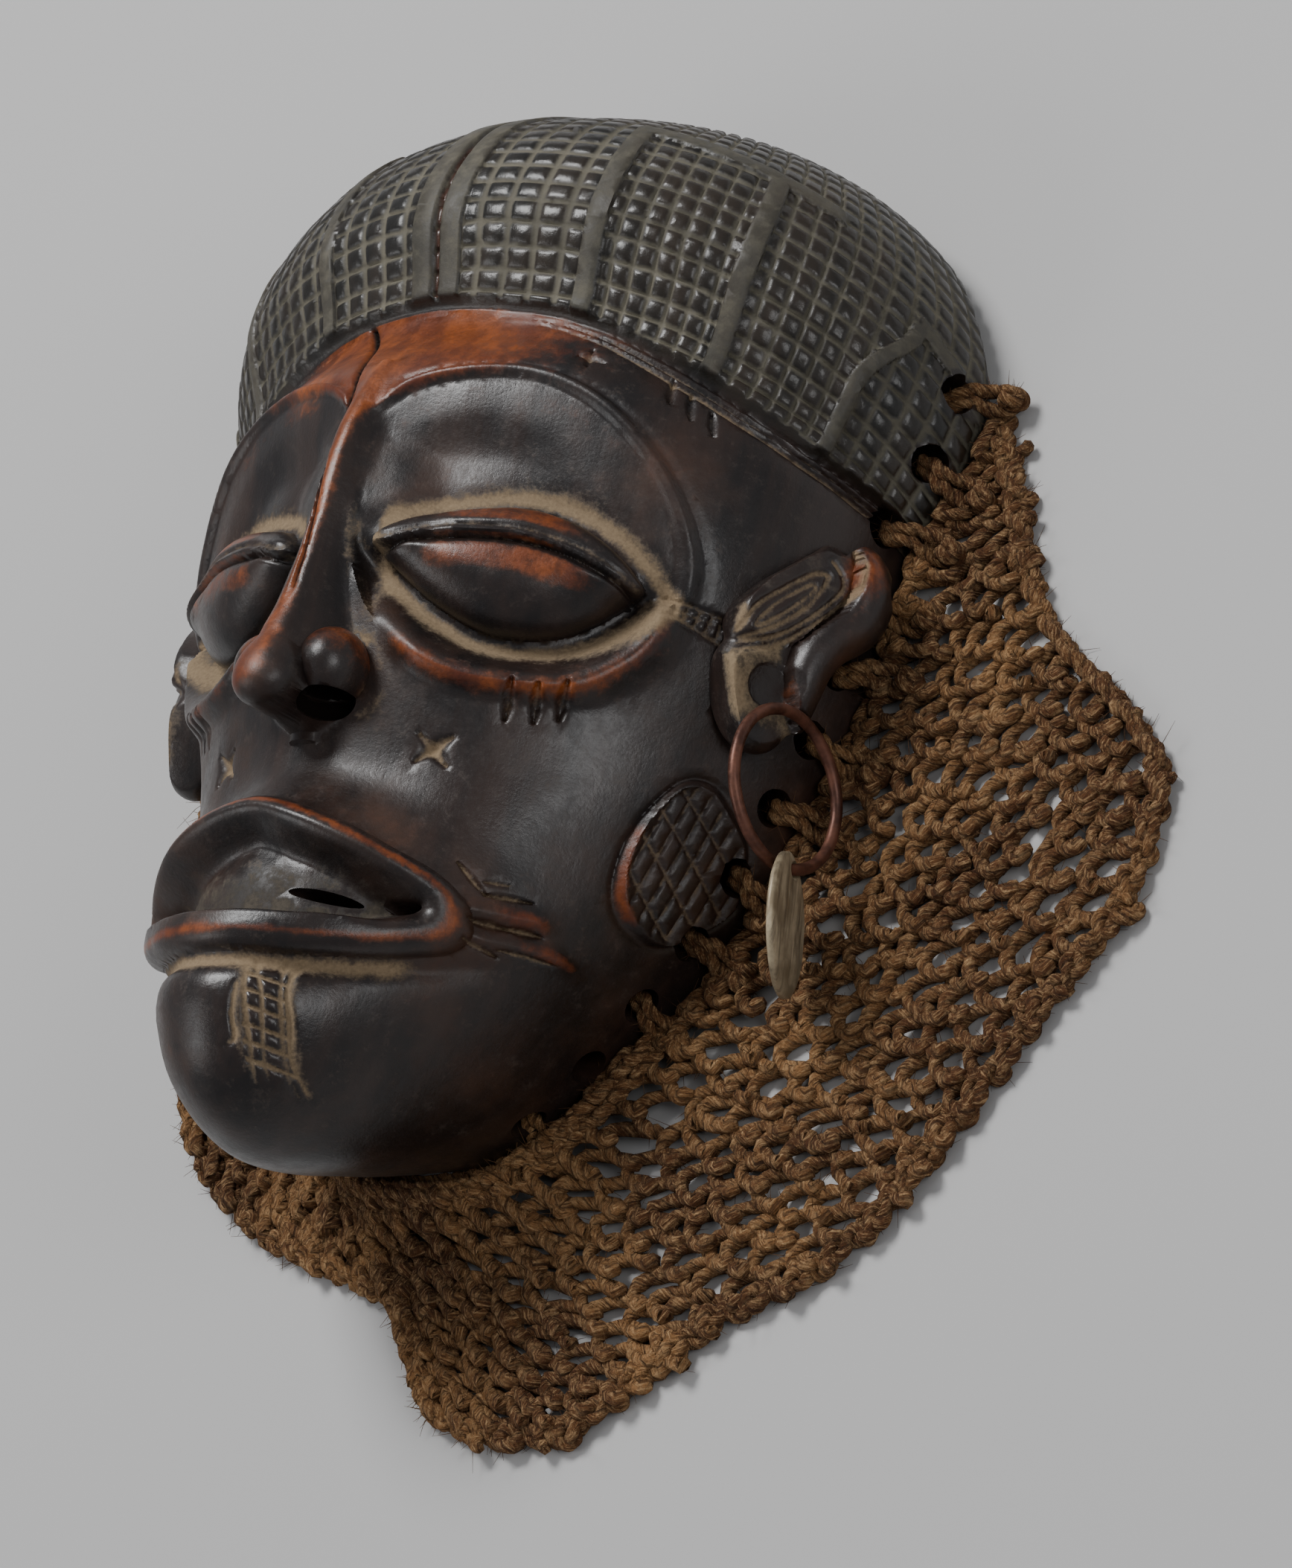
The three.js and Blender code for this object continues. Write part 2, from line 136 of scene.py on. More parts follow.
def near(x, y, path, reach=30.0):
    """Distance in the plan from each point to a polyline, and how far along it the nearest place is."""
    far = np.full(x.shape, 99.0)
    where = np.zeros(x.shape)
    lo, hi = path.min(0) - reach, path.max(0) + reach
    on = np.flatnonzero((x > lo[0]) & (x < hi[0]) & (y > lo[1]) & (y < hi[1]))
    px, py = x[on], y[on]
    best, at = np.full(px.shape, 99.0), np.zeros(px.shape)
    total = len(path) - 1
    for k in range(total):
        a, d = path[k], path[k + 1] - path[k]
        u = np.clip(((px - a[0]) * d[0] + (py - a[1]) * d[1]) / (d @ d + 1e-12), 0, 1)
        r = np.hypot(px - a[0] - u * d[0], py - a[1] - u * d[1])
        hit = r < best
        best[hit] = r[hit]
        at[hit] = (k + u[hit]) / total
    far[on], where[on] = best, at
    return far, where


def inside(x, y, path):
    """Signed distance to a closed path: positive inside."""
    d, _ = near(x, y, np.vstack([path, path[:1]]))
    odd = np.zeros(x.shape, bool)
    for a, b in zip(path, np.roll(path, -1, 0)):
        cross = (a[1] > y) != (b[1] > y)
        with np.errstate(divide="ignore", invalid="ignore"):
            odd ^= cross & (x < (b[0] - a[0]) * (y - a[1]) / (b[1] - a[1]) + a[0])
    return np.where(odd, d, -d)


def wander(x, y, scale, seed, octaves=3):
    """Smooth value noise, about -1 to 1."""
    rng = np.random.default_rng(seed)
    out = np.zeros(np.shape(x))
    gain = 1.0
    for _ in range(octaves):
        g = rng.uniform(-1, 1, (64, 64))
        u, v = np.asarray(x) / scale + 17.3, np.asarray(y) / scale + 9.1
        i, j = np.floor(u).astype(int), np.floor(v).astype(int)
        fu, fv = u - i, v - j
        fu, fv = fu * fu * (3 - 2 * fu), fv * fv * (3 - 2 * fv)
        i, j, i1, j1 = i % 64, j % 64, (i + 1) % 64, (j + 1) % 64
        low = g[i, j] * (1 - fu) + g[i1, j] * fu
        high = g[i, j1] * (1 - fu) + g[i1, j1] * fu
        out += gain * (low * (1 - fv) + high * fv)
        gain *= 0.5
        scale /= 2.1
    return out / 1.75


# Outlines of the carving in the plan, for the left half of the face.
ARCH = [(1, 12.1), (4.4, 17.6), (9.2, 21.8), (15.3, 24.7), (22.6, 26.5), (30.8, 27.7), (38.5, 26.8),
        (46.3, 24), (52.9, 19.7), (58.4, 14.5), (62.6, 9.1), (65.7, 3.2), (67.6, -2.4), (68.4, -8.3),
        (67.4, -15.6)]
BAG = [(65.6, -18.7), (63, -25.7), (59.4, -31.6), (53.6, -37.7), (48.5, -39.9), (42.2, -41.2), (35.4, -41.6),
       (28.9, -40.4), (22, -37.2), (15, -32.5)]
ORBIT = line(ARCH + BAG + [(10, -26), (6.5, -17), (5, -6), (3, 3)], 5, True)
BAG_CREST = line(BAG, 8)
LENS = line([(11, -14.8), (13.2, -12.1), (20.4, -7.7), (28.6, -5.4), (36.4, -3.9), (42, -3.2), (47.4, -3.6),
             (52.7, -5.2), (58.5, -9.4), (62.9, -15), (63, -17.6), (59.2, -22.4), (54, -27.2), (48.6, -30.2),
             (42.1, -31.7), (35.6, -31.5), (27.7, -28.6), (20.1, -24.1), (11.9, -17.4)], 5, True)
LID_LINE = line([(13, -14.6), (15.7, -14.4), (22.9, -11.8), (30.8, -10.4), (37.3, -10), (43.6, -9.8),
                 (49.4, -10.6), (54.7, -12.2), (59.1, -14.6), (62, -17)])
LID_SLIT = line([(12.4, -16.6), (15.2, -16.6), (20.5, -14.6), (26.6, -13.6), (34.9, -12.6), (42, -12.3),
                 (48.6, -12.9), (53.9, -14.4), (59, -16.6), (61.6, -18.6)])
HALF_LIPS = [(11.5, -80.8), (20.5, -83.6), (27.4, -86.2), (32.9, -88.1), (36, -90.2), (37.4, -93), (37, -96),
             (35, -98.6), (30.9, -101.3), (25.1, -104), (15.9, -106.6), (6.6, -107.8)]
LIPS = line([(0, -77.7)] + HALF_LIPS + [(0, -108.2)] + [(-x, y) for x, y in HALF_LIPS[::-1]], 4, True)
CRACK = line([(-19.8, 47.6), (-12, 38), (-7.4, 29), (-5.2, 22), (-4, 15), (-3, 8), (-2, 1), (-1, -8),
              (0.2, -20), (1, -32)])
# Low ridges at the corner of the mouth: path and height.
CORNER_RIDGES = [([(40.8, -90), (45.0, -88.8), (50.6, -86.9)], 1.3),
                 ([(41.5, -95.4), (47.6, -93.3), (51.2, -92)], 1.5)]
# Cut strokes: both ends, width, depth and lowest height that is cut.
MARKS = [
    ((26.0, -60.3), (32.5, -54.4), 1.15, 1.2, 50), ((26.1, -54.7), (32.0, -60.6), 1.15, 1.2, 50),
    ((42.4, -40.6), (41.2, -48.8), 0.85, 1.6, 40), ((46.7, -40.4), (45.9, -48.0), 0.85, 1.6, 40),
    ((51.2, -38.4), (49.8, -46.2), 0.85, 1.6, 40),
    ((57.6, 33.0), (60.2, 26.4), 0.55, 1.1, 30), ((61.6, 30.5), (64.4, 23.6), 0.55, 1.1, 30),
    ((65.8, 27.8), (68.4, 21.2), 0.55, 1.1, 30),
    ((39.6, 35.6), (45.4, 34.2), 0.6, 0.7, 30), ((41.4, 37.6), (43.4, 32.0), 0.6, 0.7, 30),
    ((37.3, -81.2), (41.8, -86.2), 0.55, 1.0, 46), ((41.8, -86.2), (47.6, -84.4), 0.55, 1.0, 46),
    ((41.4, -83.6), (45.2, -82.4), 0.4, 0.5, 46),
    ((40.0, -92.4), (44.6, -91.4), 0.7, 1.4, 44), ((44.6, -91.4), (48.2, -90.2), 0.6, 1.2, 40),
    ((39.4, -96.6), (43.2, -97.2), 0.6, 1.0, 50), ((43.4, -96.0), (48.4, -94.2), 0.45, 0.7, 36),
]
# The cheek panel is laid out by row and by degrees up from the rim, here made millimetres.
PANEL_START = np.array([4.8, 16.5])
PANEL_SCALE = np.array([21.9, 1.35])
PANEL = line([(5.64, 24), (5.56, 20), (5.27, 15), (4.92, 10), (4.54, 7), (4.28, 6), (4.05, 9), (3.96, 13),
              (4.14, 18), (4.45, 23), (4.81, 26), (5.18, 27), (5.5, 26)], 4, True)
CHIN_BARS = [[(9.8, -115), (10.4, -123.1), (10.9, -128.6), (10.5, -135)],
             [(10.8, -112.6), (12.8, -118.5), (13, -124.4), (12.6, -134)],
             [(16, -111.4), (15.8, -117.7), (16, -123.6), (15.5, -135)],
             [(18.6, -110.8), (16.9, -116.6), (17.2, -123.4), (16.6, -130.5), (17.4, -137)],
             [(8.6, -118), (8.0, -124), (8.4, -128), (6.6, -130)]]
CHIN_RUNGS = (-115.9, -119.1, -122.2, -125.6, -128.7, -131.8)
# Rows of the lower and the upper edge of the moulding at some angles up from the rim.
HAIR_ANGLE = [0, 9, 15, 26, 37, 49, 60, 69, 80, 92]
HAIR_LOW = [9.55, 9.55, 9.46, 9.41, 9.47, 9.61, 9.80, 9.90, 9.945, 9.97]
HAIR_TOP = [9.9, 9.89, 9.80, 9.68, 9.71, 9.83, 9.95, 10.02, 10.05, 10.07]


def hairline(angle):
    """Rows of the lower and the upper edge of the moulding under the coiffure."""
    a = np.degrees(angle)
    a = np.minimum(a, 180 - a)
    return np.interp(a, HAIR_ANGLE, HAIR_LOW), np.interp(a, HAIR_ANGLE, HAIR_TOP)


def nose(x, y, bare_z):
    """Height over the plain surface of a gabled ridge that ends in a round tip."""
    top = np.interp(y, [-56, -53, -50, -46, -40, -30, -18, -10, 4, 11, 20, 30],
                    [80, 90, 97.6, 99.2, 98.0, 95.4, 93.2, 92.7, 92.2, 91.2, 88.6, 84])
    side = np.interp(y, [-50, -30, 0, 25], [2.3, 2.2, 1.8, 1.1])
    ax = np.abs(x)
    core = np.interp(y, [-50, -30, 10], [4.2, 3.4, 3.0])
    gable = top - np.where(ax < core * 0.8, core - np.sqrt(np.maximum(core**2 - ax**2, 0)),
                           core * 0.4 + (ax - core * 0.8) * side)
    q = 1 - (x / 6.3) ** 2 - ((y + 46.3) / 9.0) ** 2
    tip = np.where(q > 0, 92.6 + 8.3 * np.sqrt(np.maximum(q, 0)), 0)
    over = tip - gable
    z = gable + 0.5 * (over + np.sqrt(over**2 + 1.2))
    return np.where((ax < 24) & (y > -58) & (y < 30), z - bare_z, -60)


def sculpt(p, row, angle):
    """Height of the carving over the plain surface, with masks of wear, of settled dirt and dust, and of the
    crack, which is painted near-black as painted shade.
    """
    x, y, z = np.abs(p[:, 0]), p[:, 1], p[:, 2]
    sx = p[:, 0]
    front = sm(10, 26, z)
    low_line, top_line = hairline(angle)
    face = sm(0.01, -0.01, row - top_line)
    wear = np.zeros(len(p))
    dirt = np.zeros(len(p))
    dust = np.zeros(len(p))
    patch = 0.5 + 0.5 * wander(sx, y, 13, 3)
    here = np.where(sx < 0, 0.3, 1.0)

    # orbit, brow arch and the pouch under the eye
    orb = inside(x, y, ORBIT)
    eye = inside(x, y, LENS)
    bag, _ = near(x, y, BAG_CREST)
    lower = sm(-12, -22, y)
    upper_h = -(1.5 * sm(0, 1.1, orb) + 1.4 * sm(0.8, 6, orb) + 5.2 * sm(4, 20, orb))
    upper_h += (0.8 * bell(orb + 0.9, 0.8) - 0.6 * bell(orb + 2.6, 0.7)) * sm(4, 10, x)
    share = np.clip(bag / (bag + np.maximum(-eye, 0) + 0.01), 0, 1)
    crest_on = sm(14, 26, x) * sm(-15, -21, y)
    in_h = 3.0 * crest_on * (1 - sm(0, 0.8, share)) - 7.0 * sm(0.05, 0.9, share)
    out_h = 3.0 * crest_on * (1 - sm(0, 4.6, bag))
    lower_h = np.where(orb > 0, in_h, out_h)
    h = (upper_h * (1 - lower) + lower_h * lower) * front
    wear += 0.95 * bell(bag - 0.2, 1.9) * crest_on * np.where(orb > 0, 0.6, 1.0) * here
    wear += 0.5 * sm(7, 1, bag) * (orb < 0) * crest_on * sm(60, 45, x) * patch * here
    wear += 0.62 * bell(orb - 4, 3.4) * sm(8, 18, y) * patch

    # closed lids
    t = np.clip(eye / 13.0, 0, 1)
    h += 8.4 * np.sqrt(np.clip(1 - (1 - t) ** 2, 0, 1)) * front
    slit, _ = near(x, y, LID_SLIT)
    fine, _ = near(x, y, LID_LINE)
    under_lid = y - np.interp(x, LID_SLIT[:, 0], LID_SLIT[:, 1])
    above = sm(-0.5, 0.6, under_lid) * sm(-0.3, 1.0, eye)
    h += 0.9 * above * front
    h -= (2.2 * bell(slit, 0.8) + 0.7 * bell(fine, 0.55)) * front
    h -= 0.8 * bell(eye + 3.2, 2.6) * front
    rubbed = 0.95 * sm(-0.6, -2.2, under_lid) * sm(-8.5, -4.5, under_lid + 3 * (patch - 0.5))
    wear += rubbed * sm(0.5, 2.5, eye) * sm(19, 29, x) * sm(59, 50, x) * np.where(sx < 0, 0.6, 1.0)
    wear += 0.8 * above * sm(0.8, 2.0, fine) * sm(21, 31, x) * sm(56, 46, x)
    ring = bell(eye + 3.0, np.where(y < -12, 1.6, 2.0)) * sm(9, 14, x)
    dirt += 1.15 * ring * front
    dirt += 0.3 * bell(eye + 6.0, 3.2) * sm(-4, 4, y) * front
    along_nose = sm(2, -12, y)
    settled = 0.85 * bell(x - 12.6, 2.2) * sm(-48, -40, y) * along_nose
    dirt += settled * (0.45 + 0.55 * patch) * here * front
    dirt += 0.45 * bell(fine, 0.7) + 0.3 * bell(slit, 0.6)

    # muzzle, lips and chin
    h += 8.0 * mound(x / 52, (y + 89) / 27) * front
    lip = inside(sx, y, LIPS)
    outer_roll = np.sqrt(np.clip(1 - (lip / 3.2) ** 2, 0, 1))
    h += 3.7 * np.where(lip < 0, outer_roll, 1 - sm(1.0, 5.2, lip)) * front
    h -= 6.8 * sm(2.6, 7.0, lip) * front
    h += 2.4 * sm(-98.5, -102, y) * sm(1.5, 4, lip) * front
    h += 0.35 * wander(sx, y * 1.6, 5.0, 9) * sm(3.5, 8, lip)
    under = bell(lip + 5.2, 1.7) * sm(-97, -102, y)
    h -= 1.5 * under * front
    dirt += 1.2 * under * sm(37, 30, x) * front
    dust += 0.8 * sm(2.4, 6.5, lip) * sm(-82, -93, y + 4 * patch)
    dirt += 0.35 * sm(4, 7, lip) * sm(-97, -92, y) * sm(-84, -90, y) * patch
    wear += bell(lip + 0.2, 0.95) * (0.6 + 0.6 * patch)
    h += 2.5 * mound(x / 34, (y + 124) / 22) * sm(30, 50, z)
    h += 1.4 * mound(x / 30, (y + 118) / 9) * front
    for path, height in CORNER_RIDGES:
        c, k = near(x, y, np.array(path, float))
        g = bell(c, 1.5) * sm(1.0, 0.75, k) * sm(30, 36, z)
        h += height * g
        wear += 0.8 * g * sm(0.2, 0.6, k)
    h -= 1.2 * mound((x - 22) / 17, (y + 66) / 20) * front

    # nose, laid over all that
    over = nose(sx, y, z) - h
    h = h + 0.5 * (over + np.sqrt(over**2 + 1.6))
    dirt += 0.55 * bell(over + 1.2, 1.8) * sm(-56, -48, y) * along_nose * patch * 1.3
    beside = np.hypot(x - 8.5, y + 44.5) - 9.6
    dirt += 0.75 * bell(beside, 1.5) * sm(8, 12, x) * (0.4 + 0.6 * patch) * here
    wear += 1.15 * bell(x, 2.2) * sm(-52, -44, y) * sm(40, 24, y)
    wear += 0.7 * bell(sx + 3.5, 2.2) * sm(-56, -50, y) * sm(-26, -40, y)
    brow = mound((sx + 2) / 60, (y - 37) / 32)
    wear += 1.5 * brow * sm(-1.5, 1.0, -orb) * (0.75 + 0.5 * patch)
    wear += 0.5 * sm(30, 6, x) * sm(14, 20, y) * sm(46, 36, y) * sm(-1.0, 1.5, -orb)

    # cut strokes
    for a, b, w, d, low in MARKS:
        c, k = near(x, y, np.array([a, b], float), 6)
        taper = 0.35 + 0.65 * np.sin(np.pi * np.clip(k, 0.04, 0.96))
        g = bell(c, w * taper) * sm(low - 2, low + 2, z)
        h -= d * g
        dirt += (0.32 if low == 30 else 0.75 if d < 1.5 else 0.4) * g

    # cheek panel with a slanting lattice
    b = np.degrees(np.minimum(angle, np.pi - angle))
    pu = PANEL_SCALE[0] * (row - PANEL_START[0])
    pv = PANEL_SCALE[1] * (b - PANEL_START[1])
    panel = inside(pu, pv, (PANEL - PANEL_START) * PANEL_SCALE)
    raised = 1.3 * sm(-0.3, 0.7, panel) + 0.5 * bell(panel - 0.6, 0.8) - 0.8 * bell(panel + 0.9, 0.6)
    h += raised * np.clip(z / 8, 0, 1)
    lattice = np.zeros(len(p))
    for w, gap in ((pv - 0.05 * pu, 3.7), ((pu - pv) * 0.707, 4.3)):
        off = np.abs(w / gap - np.round(w / gap)) * gap
        lattice = np.maximum(lattice, bell(off, 0.42))
    lattice *= sm(0.5, 1.5, panel)
    h -= 0.75 * lattice
    wear += 0.9 * bell(panel - 0.3, 0.7) * sm(1, 6, pv) * sm(12, 6, pu)
    dirt += 0.55 * lattice

    # ladder of small cells between eye and ear
    run = (51 - z) / 15.5
    high_rail = -16.3
    low_rail = -19.3 - 2.8 * run
    zone = sm(-0.12, -0.02, run) * sm(1.1, 1.0, run) * sm(62, 65, x)
    rails = bell(y - high_rail, 0.5) + bell(y - low_rail, 0.5) + 0.6 * bell(y - high_rail + 1.8, 0.4)
    rungs = bell(np.abs((run * 6.5) % 1 - 0.5) * 2.3, 0.42) * sm(low_rail - 0.5, low_rail + 0.3, y)
    rungs *= sm(high_rail + 0.4, high_rail - 0.4, y)
    cut = np.clip(rungs + rails, 0, 1) * zone
    h -= 0.8 * cut
    dirt += 0.55 * cut

    # chin patch of small pillows between upright bars, with a forked tail
    cut = np.zeros(len(p))
    on_chin = sm(64, 69, z) * (y < -108)
    for bar in CHIN_BARS:
        c, k = near(sx, y, line(bar, 6))
        cut = np.maximum(cut, bell(c, 0.5) * (0.4 + 0.6 * np.sin(np.pi * np.clip(k, 0.05, 0.95))))
    for rung in CHIN_RUNGS:
        groove = bell(y - rung + 0.12 * (sx - 13), 0.5)
        cut = np.maximum(cut, groove * sm(9.6, 10.2, sx) * sm(17, 16.4, sx))
    cut *= on_chin
    h -= 0.9 * cut
    dirt += 1.05 * cut
    dirt += 0.45 * bell(sx - 9.2, 1.0) * sm(-136, -130, y) * sm(-112, -116, y) * on_chin
    dirt += 0.5 * bell(sx - 17.6, 0.9) * sm(-136, -130, y) * sm(-110, -114, y) * on_chin

    # long crack from the hairline down the ridge of the nose, cut in and painted near-black as painted shade
    # in the crack
    c, k = near(sx, y, CRACK)
    wide = 0.75 - 0.45 * k
    h -= 1.6 * (bell(c, wide) * sm(1.0, 0.9, k) * face * front)
    crack_and_hole_shade = bell(c, wide * 1.15) * sm(1.0, 0.9, k) * face * front

    # moulding of two thin lines under the coiffure
    s = (row - low_line) / (top_line - low_line)
    deep = np.clip((top_line - low_line - 0.05) / 0.25, 0.1, 1)
    for at, width, height in ((0.0, 0.10, -0.7), (0.22, 0.12, 0.7), (0.46, 0.09, -0.7), (0.70, 0.13, 0.8),
                              (0.97, 0.09, -0.5)):
        h += height * deep * bell(s - at, width)
    off = np.abs(np.degrees(angle) - 90)
    dirt += (0.8 * bell(s, 0.10) + 0.6 * bell(s - 0.46, 0.08)) * sm(8, 35, off) * 0.9

    # slight unevenness of the knife
    h += 0.35 * wander(sx, y + z * 0.7, 26, 11) * front * face
    return h, wear * face, dirt * face, crack_and_hole_shade, dust * face


COLUMN_ANGLE = [0, 25, 45, 66, 87.7, 91.9, 111, 135, 155, 180]
COLUMN_COUNT = [0, 6, 12, 19, 24, 25, 30, 37, 43, 49]


def cap_chart(row, angle):
    """Coiffure lattice: columns between the bands, five rows of cells to each section."""
    u = np.interp(np.degrees(angle), COLUMN_ANGLE, COLUMN_COUNT)
    v = np.where(row < 14, (row - 10.0) * 5, 20 + (row - 14) * 3)
    return u + 0.10 * wander(row * 6, u * 2, 5, 91), v + 0.10 * wander(u * 2, row * 6, 5, 92)


def cap_relief(row, angle):
    """Height, band mask and groove mask of the coiffure."""
    a = np.degrees(angle)
    _, top_line = hairline(angle)
    u, v = cap_chart(row, angle)
    band = np.zeros(len(row))

    def strip(near_to, width, keep):
        nonlocal band
        band = np.maximum(band, sm(width, width * 0.72, np.abs(near_to)) * keep)

    wig = 0.35 * wander(row * 3, 0, 1.7, 41)
    strip(a - 92.1 - wig, 2.1, sm(15.2, 15, row))
    strip(a - 87.5 - wig, 2.1, sm(15.2, 15, row))
    strip(a - 66 + wig, 1.8, sm(12.35, 12.25, row))
    strip(a - 45 - wig, 1.8, sm(12.2, 12.1, row))
    strip(a - 111 - wig, 1.6, sm(12.35, 12.25, row))
    strip(a - 135 + wig, 1.6, sm(12.2, 12.1, row))
    for flip in (False, True):
        b = 180 - a if flip else a
        cross = sm(33, 35, b) * sm(67.5, 67, b)
        strip((row - (12.2 - 0.006 * (66 - b))) * 14, 1.5, cross)
        strip(b - 25 + 6 * sm(10.6, 11.5, row), 1.5, sm(11.56, 11.46, row))
        strip((row - 11.52 + 0.012 * (19 - b)) * 13, 1.4, sm(20.0, 19.0, b))
    fu, fv = np.abs(u - np.round(u)), np.abs(v - np.round(v))
    groove = np.maximum(bell(fu, 0.13), bell(fv, 0.13))
    pillow = 1 - (2 * (0.5 - fu)) ** 6 - (2 * (0.5 - fv)) ** 6
    on = sm(0.06, 0.12, row - top_line)
    edge = bell(band - 0.5, 0.32) * on
    open_cells = (1 - band) * on
    h = open_cells * (0.15 * np.clip(pillow, -0.5, 1) - 0.7 * groove) + band * on * 0.8 - 0.5 * edge
    gap = bell(a - 89.8, 0.5) * on * sm(15.2, 15, row)
    h -= 1.0 * gap
    return h, band * on, np.clip(groove * open_cells + 0.6 * edge, 0, 1), gap


# Shapes


def add_object(name, data):
    obj = bpy.data.objects.new(name, data)
    bpy.context.scene.collection.objects.link(obj)
    return obj


def to_mesh(name, bm):
    mesh = bpy.data.meshes.new(name)
    bm.to_mesh(mesh)
    bm.free()
    return add_object(name, mesh)


def from_faces(name, points, faces):
    mesh = bpy.data.meshes.new(name)
    mesh.from_pydata(((points + SHIFT) * MM).tolist(), [], faces)
    return add_object(name, mesh)


def put(obj, points):
    """Writes vertex places given in millimetres about the carving's midline."""
    co = ((np.asarray(points) + SHIFT) * MM).astype(np.float32)
    obj.data.vertices.foreach_set("co", co.ravel())
    obj.data.update()


def places(obj):
    """Vertex places in millimetres about the carving's midline."""
    co = np.empty(len(obj.data.vertices) * 3, np.float32)
    obj.data.vertices.foreach_get("co", co)
    return co.reshape(-1, 3).astype(float) / MM - SHIFT


def tint(obj, name, values):
    """Stores one number for each vertex, for a material to read."""
    layer = obj.data.attributes.get(name) or obj.data.attributes.new(name, "FLOAT", "POINT")
    layer.data.foreach_set("value", np.asarray(values, np.float32))


def frames_along(path, closed):
    """Two directions across a path at each of its points, carried along without twisting."""
    if closed:
        t = unit(np.roll(path, -1, 0) - np.roll(path, 1, 0))
    else:
        t = unit(np.gradient(path, axis=0))
    side = np.empty_like(path)
    s = unit(np.cross(t[0], (0.13, 0.21, 1.0)))
    for k in range(len(path)):
        s = s - t[k] * (s @ t[k])
        s /= max(np.linalg.norm(s), 1e-9)
        side[k] = s
    return side, np.cross(t, side)


def tubes(name, cords, radius, sides, wobble=0.0, seed=1, twist=0.0):
    """One mesh of round cords; each cord is a path and whether it closes on itself."""
    verts, faces, marks = [], [], []
    base = 0
    w = np.linspace(0, 2 * np.pi, sides, endpoint=False)
    for number, (path, closed) in enumerate(cords):
        n = len(path)
        a, b = frames_along(path, closed)
        run = lengths(path)
        r = np.broadcast_to(radius, (n,)) * (1 + wobble * wander(run, 7 * number, 3.5, seed, 2))
        if not closed:
            r = r * np.clip(np.minimum(np.arange(n) + 0.6, n - 0.4 - np.arange(n)) / 1.8, 0.3, 1)
        turn = run * twist
        lobe = np.abs(np.cos(w[None] - turn[:, None])) if twist else np.ones((n, sides))
        r = r[:, None] * (0.72 + 0.32 * lobe if twist else 1.0)
        round_it = np.cos(w)[None, :, None] * a[:, None] + np.sin(w)[None, :, None] * b[:, None]
        verts.append((path[:, None] + r[..., None] * round_it).reshape(-1, 3))
        marks.append(np.stack([np.tile(np.cos(w), n), np.tile(np.sin(w), n), np.repeat(turn, sides)], 1))
        k = np.arange(n if closed else n - 1)
        s = np.arange(sides)
        here, ahead = base + k[:, None] * sides, base + ((k + 1) % n)[:, None] * sides
        after = (s[None] + 1) % sides
        quads = np.stack([here + s[None], here + after, ahead + after, ahead + s[None]], -1)
        faces.extend(quads.reshape(-1, 4).tolist())
        if not closed:
            faces.append(list(range(base + sides - 1, base - 1, -1)))
            faces.append(list(range(base + (n - 1) * sides, base + n * sides)))
        base += n * sides
    obj = from_faces(name, np.vstack(verts), faces)
    if twist:
        marks = np.vstack(marks)
        for k, layer in enumerate(("round_x", "round_y", "turn")):
            tint(obj, layer, marks[:, k])
    return obj


def soften(obj):
    obj.data.polygons.foreach_set("use_smooth", [True] * len(obj.data.polygons))
    obj.data.update()


def settle(obj):
    """Keeps the shape its modifiers give as its own mesh."""
    deps = bpy.context.evaluated_depsgraph_get()
    shown = obj.evaluated_get(deps)
    mesh = bpy.data.meshes.new_from_object(shown, preserve_all_data_layers=True, depsgraph=deps)
    old = obj.data
    obj.modifiers.clear()
    obj.data = mesh
    bpy.data.meshes.remove(old)


def combine(obj, others, kind):
    """Unites the others with a piece or cuts them out of it, and then removes them."""
    bpy.context.view_layer.update()
    for other in others:
        m = obj.modifiers.new(kind, "BOOLEAN")
        m.operation = kind
        m.solver = "MANIFOLD"
        m.object = other
    settle(obj)
    for other in others:
        bpy.data.objects.remove(other, do_unlink=True)


def lighten(obj, most):
    """Joins the flattest faces until no more than the given number of triangles is left."""
    count = sum(len(q.vertices) - 2 for q in obj.data.polygons)
    if count > most:
        m = obj.modifiers.new("lighter", "DECIMATE")
        m.ratio = most / count
        settle(obj)


def ball(centre, axes, radii, levels=4):
    """A ball stretched along three directions at right angles."""
    bm = bmesh.new()
    bmesh.ops.create_icosphere(bm, subdivisions=levels, radius=1.0)
    obj = to_mesh("ball", bm)
    co = np.empty(len(obj.data.vertices) * 3, np.float32)
    obj.data.vertices.foreach_get("co", co)
    axes = np.array(axes, float)
    if np.linalg.det(axes) < 0:
        axes[0] *= -1
    put(obj, (co.reshape(-1, 3) * np.array(radii)) @ axes + np.array(centre))
    return obj


# The mask


def even_stops(fine, spacing):
    """Parameter stops whose spacing in length follows the given spacing at each fine sample."""
    t, length = fine
    w = np.r_[0, np.cumsum(np.diff(length) / (0.5 * (spacing[1:] + spacing[:-1])))]
    n = int(round(w[-1]))
    return np.interp(np.linspace(0, w[-1], n + 1), w, t)


def carve(row, angle):
    """Finished place of a point of the front, and its masks."""
    p = bare(row, angle)
    n = normal_at(row, np.clip(angle, 0.001, np.pi - 0.001))
    h, wear, dirt, crack_and_hole_shade, dust = sculpt(p, row, angle)
    hc, band, groove, gap = cap_relief(row, angle)
    over = row - hairline(angle)[1]
    low = np.clip(p[:, 2] / 6, 0, 1)
    cap = sm(0.0, 0.05, over)
    total = (h * (1 - cap) + hc * cap + 2.6 * sm(0, 0.12, over) * sm(16, 13.4, row)) * low
    masks = dict(wear=wear, dirt=dirt, crack_and_hole_shade=crack_and_hole_shade, dust=dust, cap=cap, band=band, groove=groove, gap=gap)
    return p + n * total[:, None], masks


